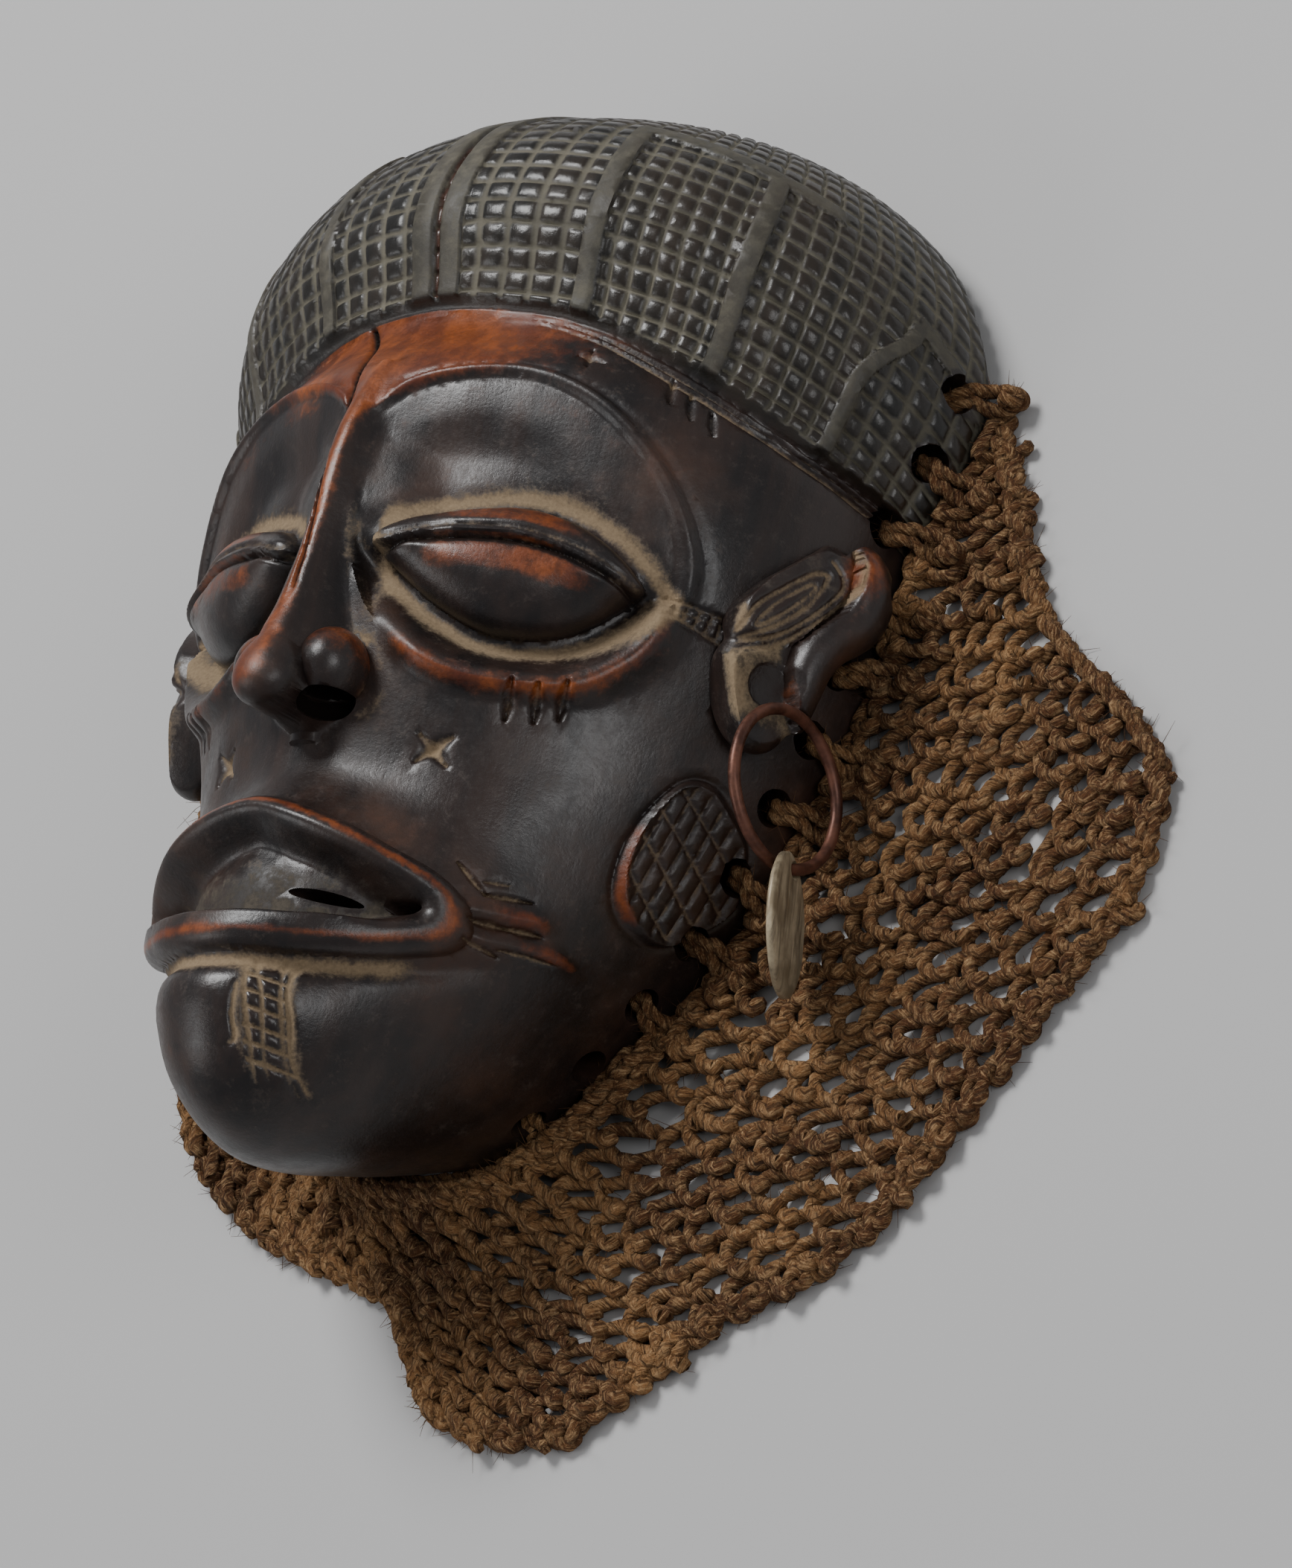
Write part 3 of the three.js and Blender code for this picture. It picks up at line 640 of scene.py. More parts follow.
def hollow(row, angle):
    """Place of a point of the hollow back."""
    p = bare(row, angle)
    rim = np.maximum(spline(SECTIONS, row)[..., 0], 0.01)
    p[..., 0] *= np.clip(rim - WALL_SIDE, 0, None) / rim
    p[..., 1] = (p[..., 1] + 2) * 0.93 - 2
    p[..., 2] *= HOLLOW_DEPTH
    return p


def mask_shell(step, limit, floor_err):
    """The carving as one closed skin, refined where a straight edge would miss the sculpted form."""
    t = np.linspace(0.02, LAST - 0.02, 2000)
    mid = bare(t, np.full(t.shape, np.pi / 2))
    length = lengths(mid)
    rows = even_stops((t, length), step * (1 + 0.7 * sm(1.2, 0.4, t) + 0.7 * sm(14, 15, t)))
    a = np.linspace(0, np.pi, 800)
    arc = bare(np.full(a.shape, 8.0), a)
    length = lengths(arc)
    cols = even_stops((a, length), step * (1 + 0.5 * sm(0.9, 1.3, np.abs(a - np.pi / 2))))
    back = np.linspace(np.pi, 0, 44)
    bm = bmesh.new()
    row_layer = bm.verts.layers.float.new("row")
    angle_layer = bm.verts.layers.float.new("angle")
    front_layer = bm.verts.layers.float.new("front")
    stops = [(a, 1.0) for a in cols] + [(a, 0.0) for a in back]
    rings = []
    for r in rows:
        ring = []
        for a, on_front in stops:
            v = bm.verts.new((r, a, 1 - on_front))
            v[row_layer], v[angle_layer], v[front_layer] = r, a, on_front
            ring.append(v)
        rings.append(ring)
    m = len(rings[0])
    for k in range(len(rings) - 1):
        for s in range(m):
            bm.faces.new((rings[k][s], rings[k][(s + 1) % m], rings[k + 1][(s + 1) % m], rings[k + 1][s]))
    bm.faces.new(rings[0][::-1])
    bm.faces.new(rings[-1])

    def layer(which):
        return np.array([v[which] for v in bm.verts])

    def look(row, angle):
        p, masks = carve(row, angle)
        return np.hstack([p, np.stack([masks["wear"] * 0.8, masks["dirt"] * 0.8], 1)])

    def carved(e):
        return e.verts[0][front_layer] > 0.5 and e.verts[1][front_layer] > 0.5

    for level in range(limit):
        bm.edges.ensure_lookup_table()
        bm.verts.index_update()
        front = [e for e in bm.edges if carved(e)]
        ends = np.array([(e.verts[0].index, e.verts[1].index) for e in front])
        row, angle = layer(row_layer), layer(angle_layer)
        at = np.zeros((len(row), 5))
        used = np.unique(ends)
        at[used] = look(row[used], angle[used])
        a, b = ends[:, 0], ends[:, 1]
        middle = look((row[a] + row[b]) / 2, (angle[a] + angle[b]) / 2)
        err = np.linalg.norm((at[a] + at[b]) / 2 - middle, axis=1)
        split = {front[k] for k in np.nonzero(err > floor_err * (1 + 0.6 * level))[0]}
        grown = set(split)
        for e in split:
            for f in e.link_faces:
                if len(f.verts) < 6:
                    grown.update(x for x in f.edges if carved(x))
        bmesh.ops.subdivide_edges(bm, edges=list(grown), cuts=1, use_grid_fill=True)
    bm.verts.ensure_lookup_table()
    row, angle, front = layer(row_layer), layer(angle_layer), layer(front_layer) > 0.5
    obj = to_mesh("mask", bm)
    pos = hollow(row, angle)
    pos[front], masks = carve(row[front], angle[front])
    pos[:, 2] = np.maximum(pos[:, 2], 0)
    # adze marks inside
    x, y, z = pos[~front].T
    pos[~front, 2] += wander(x, y, 22, 5) * 0.9 * np.clip(z / 8, 0, 1)
    put(obj, pos)
    for name, values in masks.items():
        full = np.zeros(len(row))
        full[front] = values
        tint(obj, name, full)
    tint(obj, "inner", (~front).astype(float))
    u, v = cap_chart(row, angle)
    tint(obj, "chart_u", u)
    tint(obj, "chart_v", v)
    return obj


# The ears are laid out by height, by distance to the front and outwards from the side of the head.
EAR_UP = np.array([0, 1.0, 0])
# The bulb and tail behind the plates: place and radius.
EAR_SWEEP = [(7, -2, 3, 6.4), (4.5, -5.2, 4.6, 7.6), (-0.5, -7.2, 5.4, 7.4), (-6, -6.6, 6, 6.2),
             (-12, -2, 6, 5.4), (-18, 0.6, 5.4, 5.0), (-24, 0.9, 4.6, 4.4), (-29, 0, 3.2, 3.2),
             (-33, -1, 1.8, 1.8)]
# How far forward the ear reaches, and where its flat plates begin, at some heights.
EAR_EDGE = ([-40, -34.7, -28.7, -23.5, -20, -10, -3, 3, 8, 12],
            [9, 12.5, 15.8, 18, 19.5, 18.6, 13.8, 8, 3.5, 1])
EAR_FRONT = ([-33, -26, -20.5, -15.5, -10.8, -5, 0, 9], [-0.8, 3.6, 5.6, 5.4, 2.0, -2.4, -3.6, -2.6])
# Outline of the upper plate, and the crest of the sweep above the plates.
EAR_UPPER = [(-21.4, 24), (-21.3, 17.8), (-16.5, 8.8), (-13, 4), (12, -8), (20, 10), (0, 30)]
EAR_RIDGE = [(2, -3.6), (-5, -2.3), (-10.8, 2.4), (-15.5, 6.0), (-20.5, 6.0), (-25.8, 3.9), (-32.0, -0.5)]
# Cut lines of the ear: path, whether it closes, width and depth.
EAR_LINES = [
    ([(-18.5, 18), (-14.6, 17.6), (-11, 16.3), (-5.2, 11.4), (0, 6.3), (1.7, 2.8), (-0.7, 2.5), (-6.2, 4.9),
      (-11.4, 8.9), (-15.5, 13.2)], True, 0.6, 0.8),
    ([(-15.3, 15.6), (-11.9, 14.2), (-7.2, 10.8), (-2.2, 6), (-1.9, 4.4), (-4.7, 5.8), (-10.2, 10),
      (-14, 13.6)], True, 0.5, 0.6),
    ([(-19.3, 17.2), (-15.6, 10.4), (-9.5, 4.5), (-1.5, -1), (2.1, -1.1), (5, 2.2)], False, 0.5, 0.6),
    ([(-21.2, 17.6), (-16.5, 8.6), (-10.7, 3.4), (-5.1, -0.9), (-0.6, -3.5), (5.3, -3.6), (9.2, -2)],
     False, 0.6, 0.7),
    ([(-11.4, 18.9), (-23.5, 18.0), (-28.7, 15.8), (-34.7, 12.5)], False, 0.7, 0.0),
]
LOBE_HOLE = (-25.7, 7.8)


def ear_frame(side):
    """Middle of an ear, and its outward and forward directions."""
    middle = np.array([82.0 * side, -3, 24])
    return middle, np.array([0.93 * side, 0, 0.35]), np.array([-0.35 * side, 0, 0.93])


def ear(side):
    """An ear: a bulb and a tapering tail sweep behind two flat plates."""
    at, out, fwd = ear_frame(side)

    def place(up, forward, outward):
        return at + EAR_UP * up + fwd * forward + out * outward

    def plate(a, b, lift, length, width, thick):
        a, b = np.array(a, float), np.array(b, float)
        d = unit(b - a)
        axes = (out, EAR_UP * d[0] + fwd * d[1], -EAR_UP * d[1] + fwd * d[0])
        return ball(place(*((a + b) / 2), lift), axes, (thick, length, width))

    parts = [
        plate((-17, 17.5), (9, -2), 0.5, 17.5, 8.2, 10),
        plate((-18, 14), (-36, 5), -1.5, 13, 9.5, 8),
        ball(place(-12, 4, -2), (out, EAR_UP, fwd), (8, 20, 11)),
    ]
    path = line(EAR_SWEEP, 6)
    cord = np.array([place(*q[:3]) for q in path])
    parts.append(tubes("helix", [(cord, False)], path[:, 3], 20))
    obj = parts[0]
    combine(obj, parts[1:], "UNION")
    r = obj.modifiers.new("skin", "REMESH")
    r.mode = "VOXEL"
    r.voxel_size = 0.7 * MM
    settle(obj)
    p = places(obj)
    up, fo = (p - at) @ EAR_UP, (p - at) @ fwd
    put(obj, p - 0.88 * np.clip(fo - np.interp(up, *EAR_EDGE), 0, None)[:, None] * fwd)
    bm = bmesh.new()
    bm.from_mesh(obj.data)
    all_axes = dict(use_axis_x=True, use_axis_y=True, use_axis_z=True)
    for _ in range(4):
        bmesh.ops.smooth_vert(bm, verts=bm.verts, factor=0.5, **all_axes)
    bm.to_mesh(obj.data)
    bm.free()
    p = places(obj)
    q = p - at
    up, fo, ou = q @ EAR_UP, q @ fwd, q @ out
    near_ridge, k = near(up, fo, line(EAR_RIDGE, 6))
    in_front = fo > np.interp(up, *EAR_FRONT)
    split = inside(up, fo, line(EAR_UPPER, 4, True))
    flat = np.where(split > 0, 6.6 - 0.10 * (fo - 8), np.maximum(3.4 + 0.10 * (up + 26), -4))
    drop = np.clip(ou - flat, 0, None) * in_front * (ou > 0)
    p -= drop[:, None] * out
    wear = np.exp(-(((up - 4) / 8) ** 2 + ((fo + 4.5) / 4.5) ** 2)) * sm(2, 6, ou) * 0.95
    wear += 0.5 * bell(near_ridge, 1.2) * sm(4, 7, ou) * sm(0.35, 0.8, k)
    shown = in_front * (ou > 0) * sm(-37, -33, up) * (1.0 if side > 0 else 0.35)
    dust = 0.95 * shown * np.where(split > 0, 0.32, 1.0) * sm(0.2, 1.2, near_ridge)
    dirt = 0.66 * shown * (split < -0.5) * sm(0.6, 1.6, near_ridge)
    for points, closed, width, depth in EAR_LINES:
        path = line(points, 6, closed)
        if closed:
            path = np.vstack([path, path[:1]])
        distance, _ = near(up, fo, path)
        g = bell(distance, width) * sm(1, 4, ou)
        p -= (g * depth)[:, None] * out
        dirt = dirt + g * (0.95 if side > 0 else 0.6)
    distance = np.hypot(up - LOBE_HOLE[0], (fo - LOBE_HOLE[1]) / 1.04)
    lobe = sm(5.2, 4.7, distance) * sm(0.5, 2.5, ou)
    p -= (lobe * 0.7)[:, None] * out
    put(obj, p)
    tint(obj, "wear", wear)
    # painted shade: the shallow dip of the lobe hole is painted dark, and dirt and dust are kept off it
    tint(obj, "dirt", dirt * (1 - 0.85 * lobe))
    tint(obj, "dust", dust * (1 - lobe))
    tint(obj, "crack_and_hole_shade", 0.40 * lobe)
    return obj


def rim_curve():
    """Evenly spaced places along one side of the rim for the tie holes, and the way out of each."""
    rim = line([(s[0], s[1]) for s in SECTIONS[1:13]], 30)
    d = lengths(rim)
    f = (np.arange(HOLE_COUNT) + 0.6) / (HOLE_COUNT + 0.2) * d[-1]
    x, y = np.interp(f, d, rim[:, 0]), np.interp(f, d, rim[:, 1])
    tx = np.interp(f + 1, d, rim[:, 0]) - np.interp(f - 1, d, rim[:, 0])
    ty = np.interp(f + 1, d, rim[:, 1]) - np.interp(f - 1, d, rim[:, 1])
    return np.stack([x, y], 1), unit(np.stack([ty, -tx], 1))


def hole_tools():
    """Cutters for the tie holes on both sides."""
    at, out = rim_curve()
    cords = []
    for side in (1, -1):
        for (x, y), (ox, oy) in zip(at, out):
            mid = np.array([x * side, y, HOLE_HEIGHT])
            d = unit(np.array([ox * side, oy, 0.12]))
            cords.append((np.array([mid + d * t for t in (-16, -15, 0, 15, 16)]), False))
    return tubes("holes", cords, HOLE_RADIUS, 20)


def nose_wings():
    """The two sides of the nose, each a smooth lump beside the tip."""
    lumps = []
    for side in (1, -1):
        across = unit(np.array([1.0, 0, -0.35 * side]))
        forward = unit(np.array([0.35 * side, 0, 1.0]))
        lump = ball((8.0 * side, -43.6, 83.6), (across, (0, 1, 0), forward), (7.6, 8.5, 9.4))
        p = places(lump)
        tint(lump, "wear", 0.55 * bell(p[:, 1] + 38, 5) + 0.15)
        tint(lump, "dirt", 0.5 * sm(84, 76, p[:, 2]))
        lumps.append(lump)
    return lumps


def face_tools():
    """Cutters for the nostrils, whose hollows are painted near-black as painted shade, and for the openings
    between the lips.
    """
    cut = []
    for side, x, size in ((1, 8.4, 1.0), (-1, -7.0, 0.8)):
        deep = unit(np.array([-0.30 * side, 0.52, -0.80]))
        wide = unit(np.cross(deep, [0.1 * side, 0.84, 0.54]))
        axes = (wide, np.cross(deep, wide), deep)
        nostril = ball((x, -51.4, 83.4), axes, (5.6 * size, 4.5 * size, 9.5 * size))
        # painted shade: the nostril's hollow is painted near-black
        tint(nostril, "crack_and_hole_shade", np.ones(len(nostril.data.vertices)))
        cut.append(nostril)
    for x, y, half, tall in ((16.8, -94.6, 7.0, 1.5), (31.2, -93.5, 4.6, 1.4)):
        cut.append(ball((x, y, 70), np.eye(3), (half, tall, 26), 3))
    return cut


RING_UP = unit(np.array([-0.1, 0.95, 0.28]))
RING_SIDE = unit(np.array([0, -0.47, 0.88]) - RING_UP * (np.array([0, -0.47, 0.88]) @ RING_UP))


def ring_path(n, uneven=0.0):
    """Middle of the wire, all the way round."""
    w = np.linspace(0, 2 * np.pi, n, endpoint=False)
    r = RING_RADIUS + uneven * (wander(np.cos(w) * 9, np.sin(w) * 9, 7, 8))
    return RING_CENTRE + r[:, None] * (np.cos(w)[:, None] * RING_SIDE + np.sin(w)[:, None] * RING_UP)


def build_mask(p, look):
    obj = mask_shell(p.step, p.levels, p.tolerance)
    combine(obj, [ear(1), ear(-1)] + nose_wings(), "UNION")
    lobe_bore = tubes("bore", [(ring_path(60), True)], WIRE_RADIUS + 0.8, 12)
    combine(obj, [hole_tools(), lobe_bore] + face_tools(), "DIFFERENCE")
    lighten(obj, p.faces)
    soften(obj)
    obj.data.set_sharp_from_angle(angle=math.radians(62))
    obj.data.materials.clear()
    obj.data.materials.append(wood(look.worn))
    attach(obj, "root")
    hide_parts("mask")
    return obj


# The ring and its pendant


def build_ring(look):
    obj = tubes("ear_ring", [(ring_path(180, 0.35), True)], WIRE_RADIUS, 16, 0.03, 4)
    soften(obj)
    obj.data.materials.append(copper(look.copper))
    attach(obj, "root")
    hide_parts("ear_ring")
    return obj


def build_disc(look):
    n = unit(np.array([0.904, 0.129, -0.403]))
    up = np.array([-0.09, 0.99, 0.2])
    up = unit(up - n * (up @ n))
    side = np.cross(up, n)
    strung = RING_CENTRE - RING_RADIUS * RING_UP
    centre = strung - 11.8 * up
    rings = np.r_[0.0, np.linspace(0.12, 0.96, 18), 1.0]
    w = np.linspace(0, 2 * np.pi, 120, endpoint=False)
    edge = DISC_RADIUS * (0.985 + 0.02 * wander(np.cos(w) * 10, np.sin(w) * 10, 6, 21, 4))
    verts, faces = [], []
    for face in (1, -1):
        for r in rings[1:]:
            x, y = edge * r * np.cos(w), edge * r * np.sin(w)
            lift = 1.0 * (1 - 0.5 * sm(0.93, 1.0, r)) + 0.12 * wander(x, y, 7, 31 + face)
            verts.append(centre + x[:, None] * side + y[:, None] * up + (face * lift)[:, None] * n)
    m, k = len(w), len(rings) - 1
    pts = np.vstack(verts + [np.array([centre + n, centre - n])])
    for f in range(2):
        base = f * k * m
        tip = 2 * k * m + f
        for s in range(m):
            s2 = (s + 1) % m
            tri = [tip, base + s, base + s2]
            faces.append(tri if f == 0 else tri[::-1])
            for r in range(k - 1):
                here, ahead = base + r * m, base + (r + 1) * m
                q = [here + s, ahead + s, ahead + s2, here + s2]
                faces.append(q if f == 0 else q[::-1])
    for s in range(m):
        s2 = (s + 1) % m
        here, ahead = (k - 1) * m, (2 * k - 1) * m
        faces.append([here + s, ahead + s, ahead + s2, here + s2])
    obj = from_faces("disc_pendant", pts, faces)
    bm = bmesh.new()
    bm.from_mesh(obj.data)
    bmesh.ops.recalc_face_normals(bm, faces=bm.faces)
    bm.to_mesh(obj.data)
    bm.free()
    combine(obj, [tubes("bore", [(ring_path(120), True)], WIRE_RADIUS + 0.7, 14)], "DIFFERENCE")
    soften(obj)
    obj.data.materials.clear()
    obj.data.materials.append(silver(look.silver))
    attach(obj, "root")
    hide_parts("disc_pendant")
    return obj


# The net


# The net as it was looped, spread flat: it would reach round and over the wearer's head.
NET_EDGE = [(-101, 46), (-104, 10), (-98, -38), (-84, -82), (-78, -112), (-50, -136), (-2, -156), (14, -180),
            (48, -184), (84, -160), (116, -142), (143, -102), (163, -70), (164, -38), (128, -3), (112, 28),
            (103, 50)]
NET_ROWS = 17
SAMPLES_PER_LOOP = 12
LOWEST_CORD = 1.8
# Free loops at the edge of the net: middle, radius and turn.
FREE_LOOPS = [((-88, -78), 4.2, 0.4), ((-84, -92), 3.6, 1.9), ((163, -71), 2.6, 0.7), ((118, 12), 2.4, 2.0),
              ((112, 27), 2.6, 1.2), ((50, -183), 3.0, 2.6), ((-100, 12), 3.0, 2.2)]
# One lacing cord from its hole to the net: outwards, along the rim and up.
LACE = [(-5, 0.8, 10.6), (-1, 1.0, 10.5), (2.6, 1.2, 9.6), (4.8, 1.7, 7.4), (7.2, 2.2, 5.4), (10.2, 1.8, 4.2),
        (12.6, 0.2, 4.0), (12.0, -1.2, 5.6), (9.0, -0.8, 7.0)]


def net_sides(k):
    """The edge of the net against the carving and its free edge, at shares k of the way round."""
    edge = line(NET_EDGE, 30)
    d = lengths(edge)
    outer = np.stack([np.interp(k * d[-1], d, edge[:, 0]), np.interp(k * d[-1], d, edge[:, 1])], 1)
    q = 2 * k - 1
    row = 0.35 + 10.9 * np.abs(q)
    crown = spline(SECTIONS, row)[:, 3]
    angle = np.arcsin(np.minimum(1, 10.6 / crown))
    p = bare(row, angle)
    n = unit(normal_at(row, angle)[:, :2])
    p[:, :2] += n * (3.0 + 2.6 * sm(9.4, 10.2, row))[:, None]
    flip = np.where(q < 0, -1.0, 1.0)
    return np.stack([p[:, 0] * flip, p[:, 1]], 1), outer


def net_place(k, d):
    """Places of the net at shares k round it and distances d from the carving, and the net's width there."""
    inner, outer = net_sides(k)
    way = outer - inner
    width = np.linalg.norm(way, axis=1)
    r = d / width
    xy = inner + way * r[:, None]
    z = 2.4 + 3.2 * (1 - sm(0, 0.3, r)) * (1 + 1.2 * bell(k - 0.53, 0.08))
    z += 1.6 * sm(0.1, 0.9, wander(xy[:, 0], xy[:, 1], 30, 77)) * sm(0.3, 0.6, r)
    return np.column_stack([xy, z]), width


def net_rows(pitch, gap):
    """Cords that run round the jaw row by row, each bent into loops that hook over the row before."""
    k = np.linspace(0.0, 1.0, 1600)
    _, width = net_place(k, np.zeros(len(k)))
    cords = []
    for j in range(NET_ROWS):
        d = 0.8 + gap * j
        on = width > d + 1.0 + 2.4 * wander(k * 60, 0, 2, 50 + j)
        edges = np.flatnonzero(np.diff(np.r_[0, on.astype(int), 0]))
        for a, b in zip(edges[::2], edges[1::2]):
            if b - a < 26:
                continue
            share = k[a:b]
            mid, _ = net_place(share, np.full(len(share), d))
            s = lengths(mid)
            loops = max(2, int(s[-1] / pitch))
            t = np.linspace(0, loops, loops * SAMPLES_PER_LOOP)
            big = 0.66 * gap * (1 + 0.6 * wander(t, 0, 1.7, 100 + j, 2))
            lean = 0.30 * (1 + 0.8 * wander(t, 5, 1.4, 200 + j, 2))
            fore = pitch * (t + 0.55 * wander(t, 3, 2.4, 600 + j) - lean * np.sin(2 * np.pi * t))
            fore = np.clip(fore * s[-1] / (pitch * loops), 0, s[-1])
            deep = d + big * np.cos(2 * np.pi * t) + 3.2 * wander(t, 9, 2.6, 300 + j)
            fore = np.clip(fore + 0.45 * (deep - d), 0, s[-1])
            q, _ = net_place(np.interp(fore, s, share), np.clip(deep, 0, None))
            q[:, 2] += 1.1 * np.sin(2 * np.pi * t + 0.8) + 0.7 * np.cos(4 * np.pi * t)
            q[:, 2] += 1.1 * wander(t, 0, 1.3, 400 + j, 2)
            q[:, 2] = np.maximum(q[:, 2], LOWEST_CORD)
            cords.append((q, False))
    return cords


def bunch():
    """Slack cords gathered close under the chin."""
    k = np.linspace(0.38, 0.62, 170)
    cords = []
    for j, (d, z) in enumerate(((-4.4, 2.6), (-2.6, 6.0), (-0.4, 8.8), (1.8, 9.4), (4.2, 7.8))):
        share = k + 0.004 * wander(k * 130, 0, 1, 70 + j)
        q, _ = net_place(share, d + 1.5 * wander(k * 110, 0, 1, 80 + j))
        q[:, 2] = z + 1.3 * wander(k * 140, 0, 1, 90 + j)
        cords.append((q, False))
    q, _ = net_place(np.linspace(0.455, 0.545, 40), np.full(40, -6.2))
    q[:, 2] = 3.0
    return cords + [(q, False)]


def border():
    """The last cord, run along the free edge through the ends of the rows."""
    k = np.linspace(0.0, 1.0, 1500)
    _, width = net_place(k, np.zeros(len(k)))
    cords = []
    waves = 2 * np.pi * 58 * k
    for phase, lift in ((0.0, 0.0), (2.4, 1.2)):
        sway = 1.5 * np.sin(waves + phase) + 1.3 * wander(k * 300, 0, 3, 33)
        q, _ = net_place(k, np.clip(width - 1.6 + sway, 0.5, None))
        q[:, 2] = 2.9 + lift * np.sin(waves)
        cords.append((q, False))
    return cords


def lacing():
    """Doubled cords out of the holes of the rim, each hooked into the first rows of the net."""
    at, out = rim_curve()
    cords = []
    for side in (1, -1):
        for n, ((x, y), (ox, oy)) in enumerate(zip(at, out)):
            o = np.array([ox * side, oy, 0.0])
            along = np.array([-oy, ox * side, 0.0])
            base = np.array([x * side - (1.5 if n > 9 else 0), y, 0.0])
            sway = 1.2 * (1 if n % 2 else -1)
            if side == 1 and n == 1:
                # this hole is empty
                continue
            for s in (1, -1):
                path = []
                for a, b, c in LACE:
                    flat = base + o * a + along * (s * b + sway * (a > 2))
                    path.append(flat + np.array([0, 0, c + 0.4 * s]))
                cords.append((line(path, 6), False))
    return cords


def loose_ends():
    """A few free loops at the edge of the net."""
    cords = []
    w = np.linspace(0, 2 * np.pi, 30)
    for (x, y), r, turn in FREE_LOOPS:
        q = np.stack([x + r * np.cos(w + turn), y + 0.8 * r * np.sin(w + turn), 2.6 + 0.9 * np.sin(2 * w)], 1)
        cords.append((q, False))
    return cords


def stray_fibres(cords, count, seed=5):
    """Short hairs that stand out of the cords."""
    rng = np.random.default_rng(seed)
    spots = np.vstack([path for path, _ in cords])
    hairs = []
    for at in spots[rng.integers(0, len(spots), count)]:
        way = unit(rng.normal(0, 1, 3) * (1, 1, 0.7) + (0, 0, 0.5))
        bend = rng.normal(0, 1, 3)
        u = np.linspace(0, 1, 3)[:, None] * rng.uniform(2.0, 4.6)
        path = at + way * u + bend * u**2 * 0.08
        path[:, 2] = np.maximum(path[:, 2], 0.4)
        hairs.append((path, False))
    return hairs


def build_net(p, look):
    cords = net_rows(p.pitch, p.row_gap) + bunch() + border() + lacing() + loose_ends()
    obj = tubes("net_hood", cords, p.cord / 2, 7, 0.28, 12, 0.8)
    hairs = tubes("net_fuzz", stray_fibres(cords, p.hairs), 0.10, 3)
    for piece in (obj, hairs):
        soften(piece)
        piece.data.materials.append(fibre(look.fibre))
        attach(piece, "root")
    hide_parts("net_hood")
    return obj


# Materials


class Nodes:
    """A material under construction, with short names for the nodes that it needs."""

    def __init__(self, name):
        self.mat = bpy.data.materials.new(name)
        self.mat.use_nodes = True
        self.tree = self.mat.node_tree
        self.tree.nodes.clear()
        out = self.node("OutputMaterial")
        self.shader = self.node("BsdfPrincipled")
        self.tree.links.new(self.shader.outputs[0], out.inputs["Surface"])
        self.coord = self.node("TexCoord").outputs["Object"]

    def node(self, kind):
        return self.tree.nodes.new("ShaderNode" + kind)

    def give(self, name, value):
        self.plug(value, self.shader.inputs[name])

    def plug(self, value, socket):
        if isinstance(value, bpy.types.NodeSocket):
            self.tree.links.new(value, socket)
        elif value is not None:
            socket.default_value = value

    def attr(self, name):
        n = self.node("Attribute")
        n.attribute_name = name
        return n.outputs["Fac"]

    def math(self, operation, a, b=None):
        n = self.node("Math")
        n.operation = operation
        self.plug(a, n.inputs[0])
        self.plug(b, n.inputs[1])
        return n.outputs[0]

    def add(self, a, b):
        return self.math("ADD", a, b)

    def times(self, a, b):
        return self.math("MULTIPLY", a, b)

    def larger(self, a, b):
        return self.math("MAXIMUM", a, b)

    def scaled(self, x, y, z):
        n = self.node("Mapping")
        n.inputs["Scale"].default_value = (x, y, z)
        self.plug(self.coord, n.inputs["Vector"])
        return n.outputs[0]

    def joined(self, x, y, z):
        n = self.node("CombineXYZ")
        for value, socket in zip((x, y, z), n.inputs):
            self.plug(value, socket)
        return n.outputs[0]

    def noise(self, scale, detail=4.0, rough=0.55, vector=None):
        n = self.node("TexNoise")
        self.plug(vector or self.coord, n.inputs["Vector"])
        n.inputs["Scale"].default_value = scale
        n.inputs["Detail"].default_value = detail
        n.inputs["Roughness"].default_value = rough
        return n.outputs[0]

    def step(self, value, a, b, x=0.0, y=1.0):
        n = self.node("MapRange")
        n.interpolation_type = "SMOOTHSTEP"
        self.plug(value, n.inputs["Value"])
        for key, v in (("From Min", a), ("From Max", b), ("To Min", x), ("To Max", y)):
            n.inputs[key].default_value = v
        return n.outputs[0]

    def mix(self, fac, a, b):
        """Mixes two colours."""
        n = self.node("Mix")
        n.data_type = "RGBA"
        self.plug(fac, n.inputs[0])
        self.plug(a if isinstance(a, bpy.types.NodeSocket) else (*a, 1.0), n.inputs[6])
        self.plug(b if isinstance(b, bpy.types.NodeSocket) else (*b, 1.0), n.inputs[7])
        return n.outputs[2]

    def blend(self, fac, a, b):
        """Mixes two numbers."""
        n = self.node("Mix")
        self.plug(fac, n.inputs[0])
        self.plug(a, n.inputs[2])
        self.plug(b, n.inputs[3])
        return n.outputs[0]

    def bump(self, height, distance, strength=1.0, normal=None):
        n = self.node("Bump")
        n.inputs["Strength"].default_value = strength
        n.inputs["Distance"].default_value = distance
        self.plug(height, n.inputs["Height"])
        self.plug(normal, n.inputs["Normal"])
        return n.outputs[0]


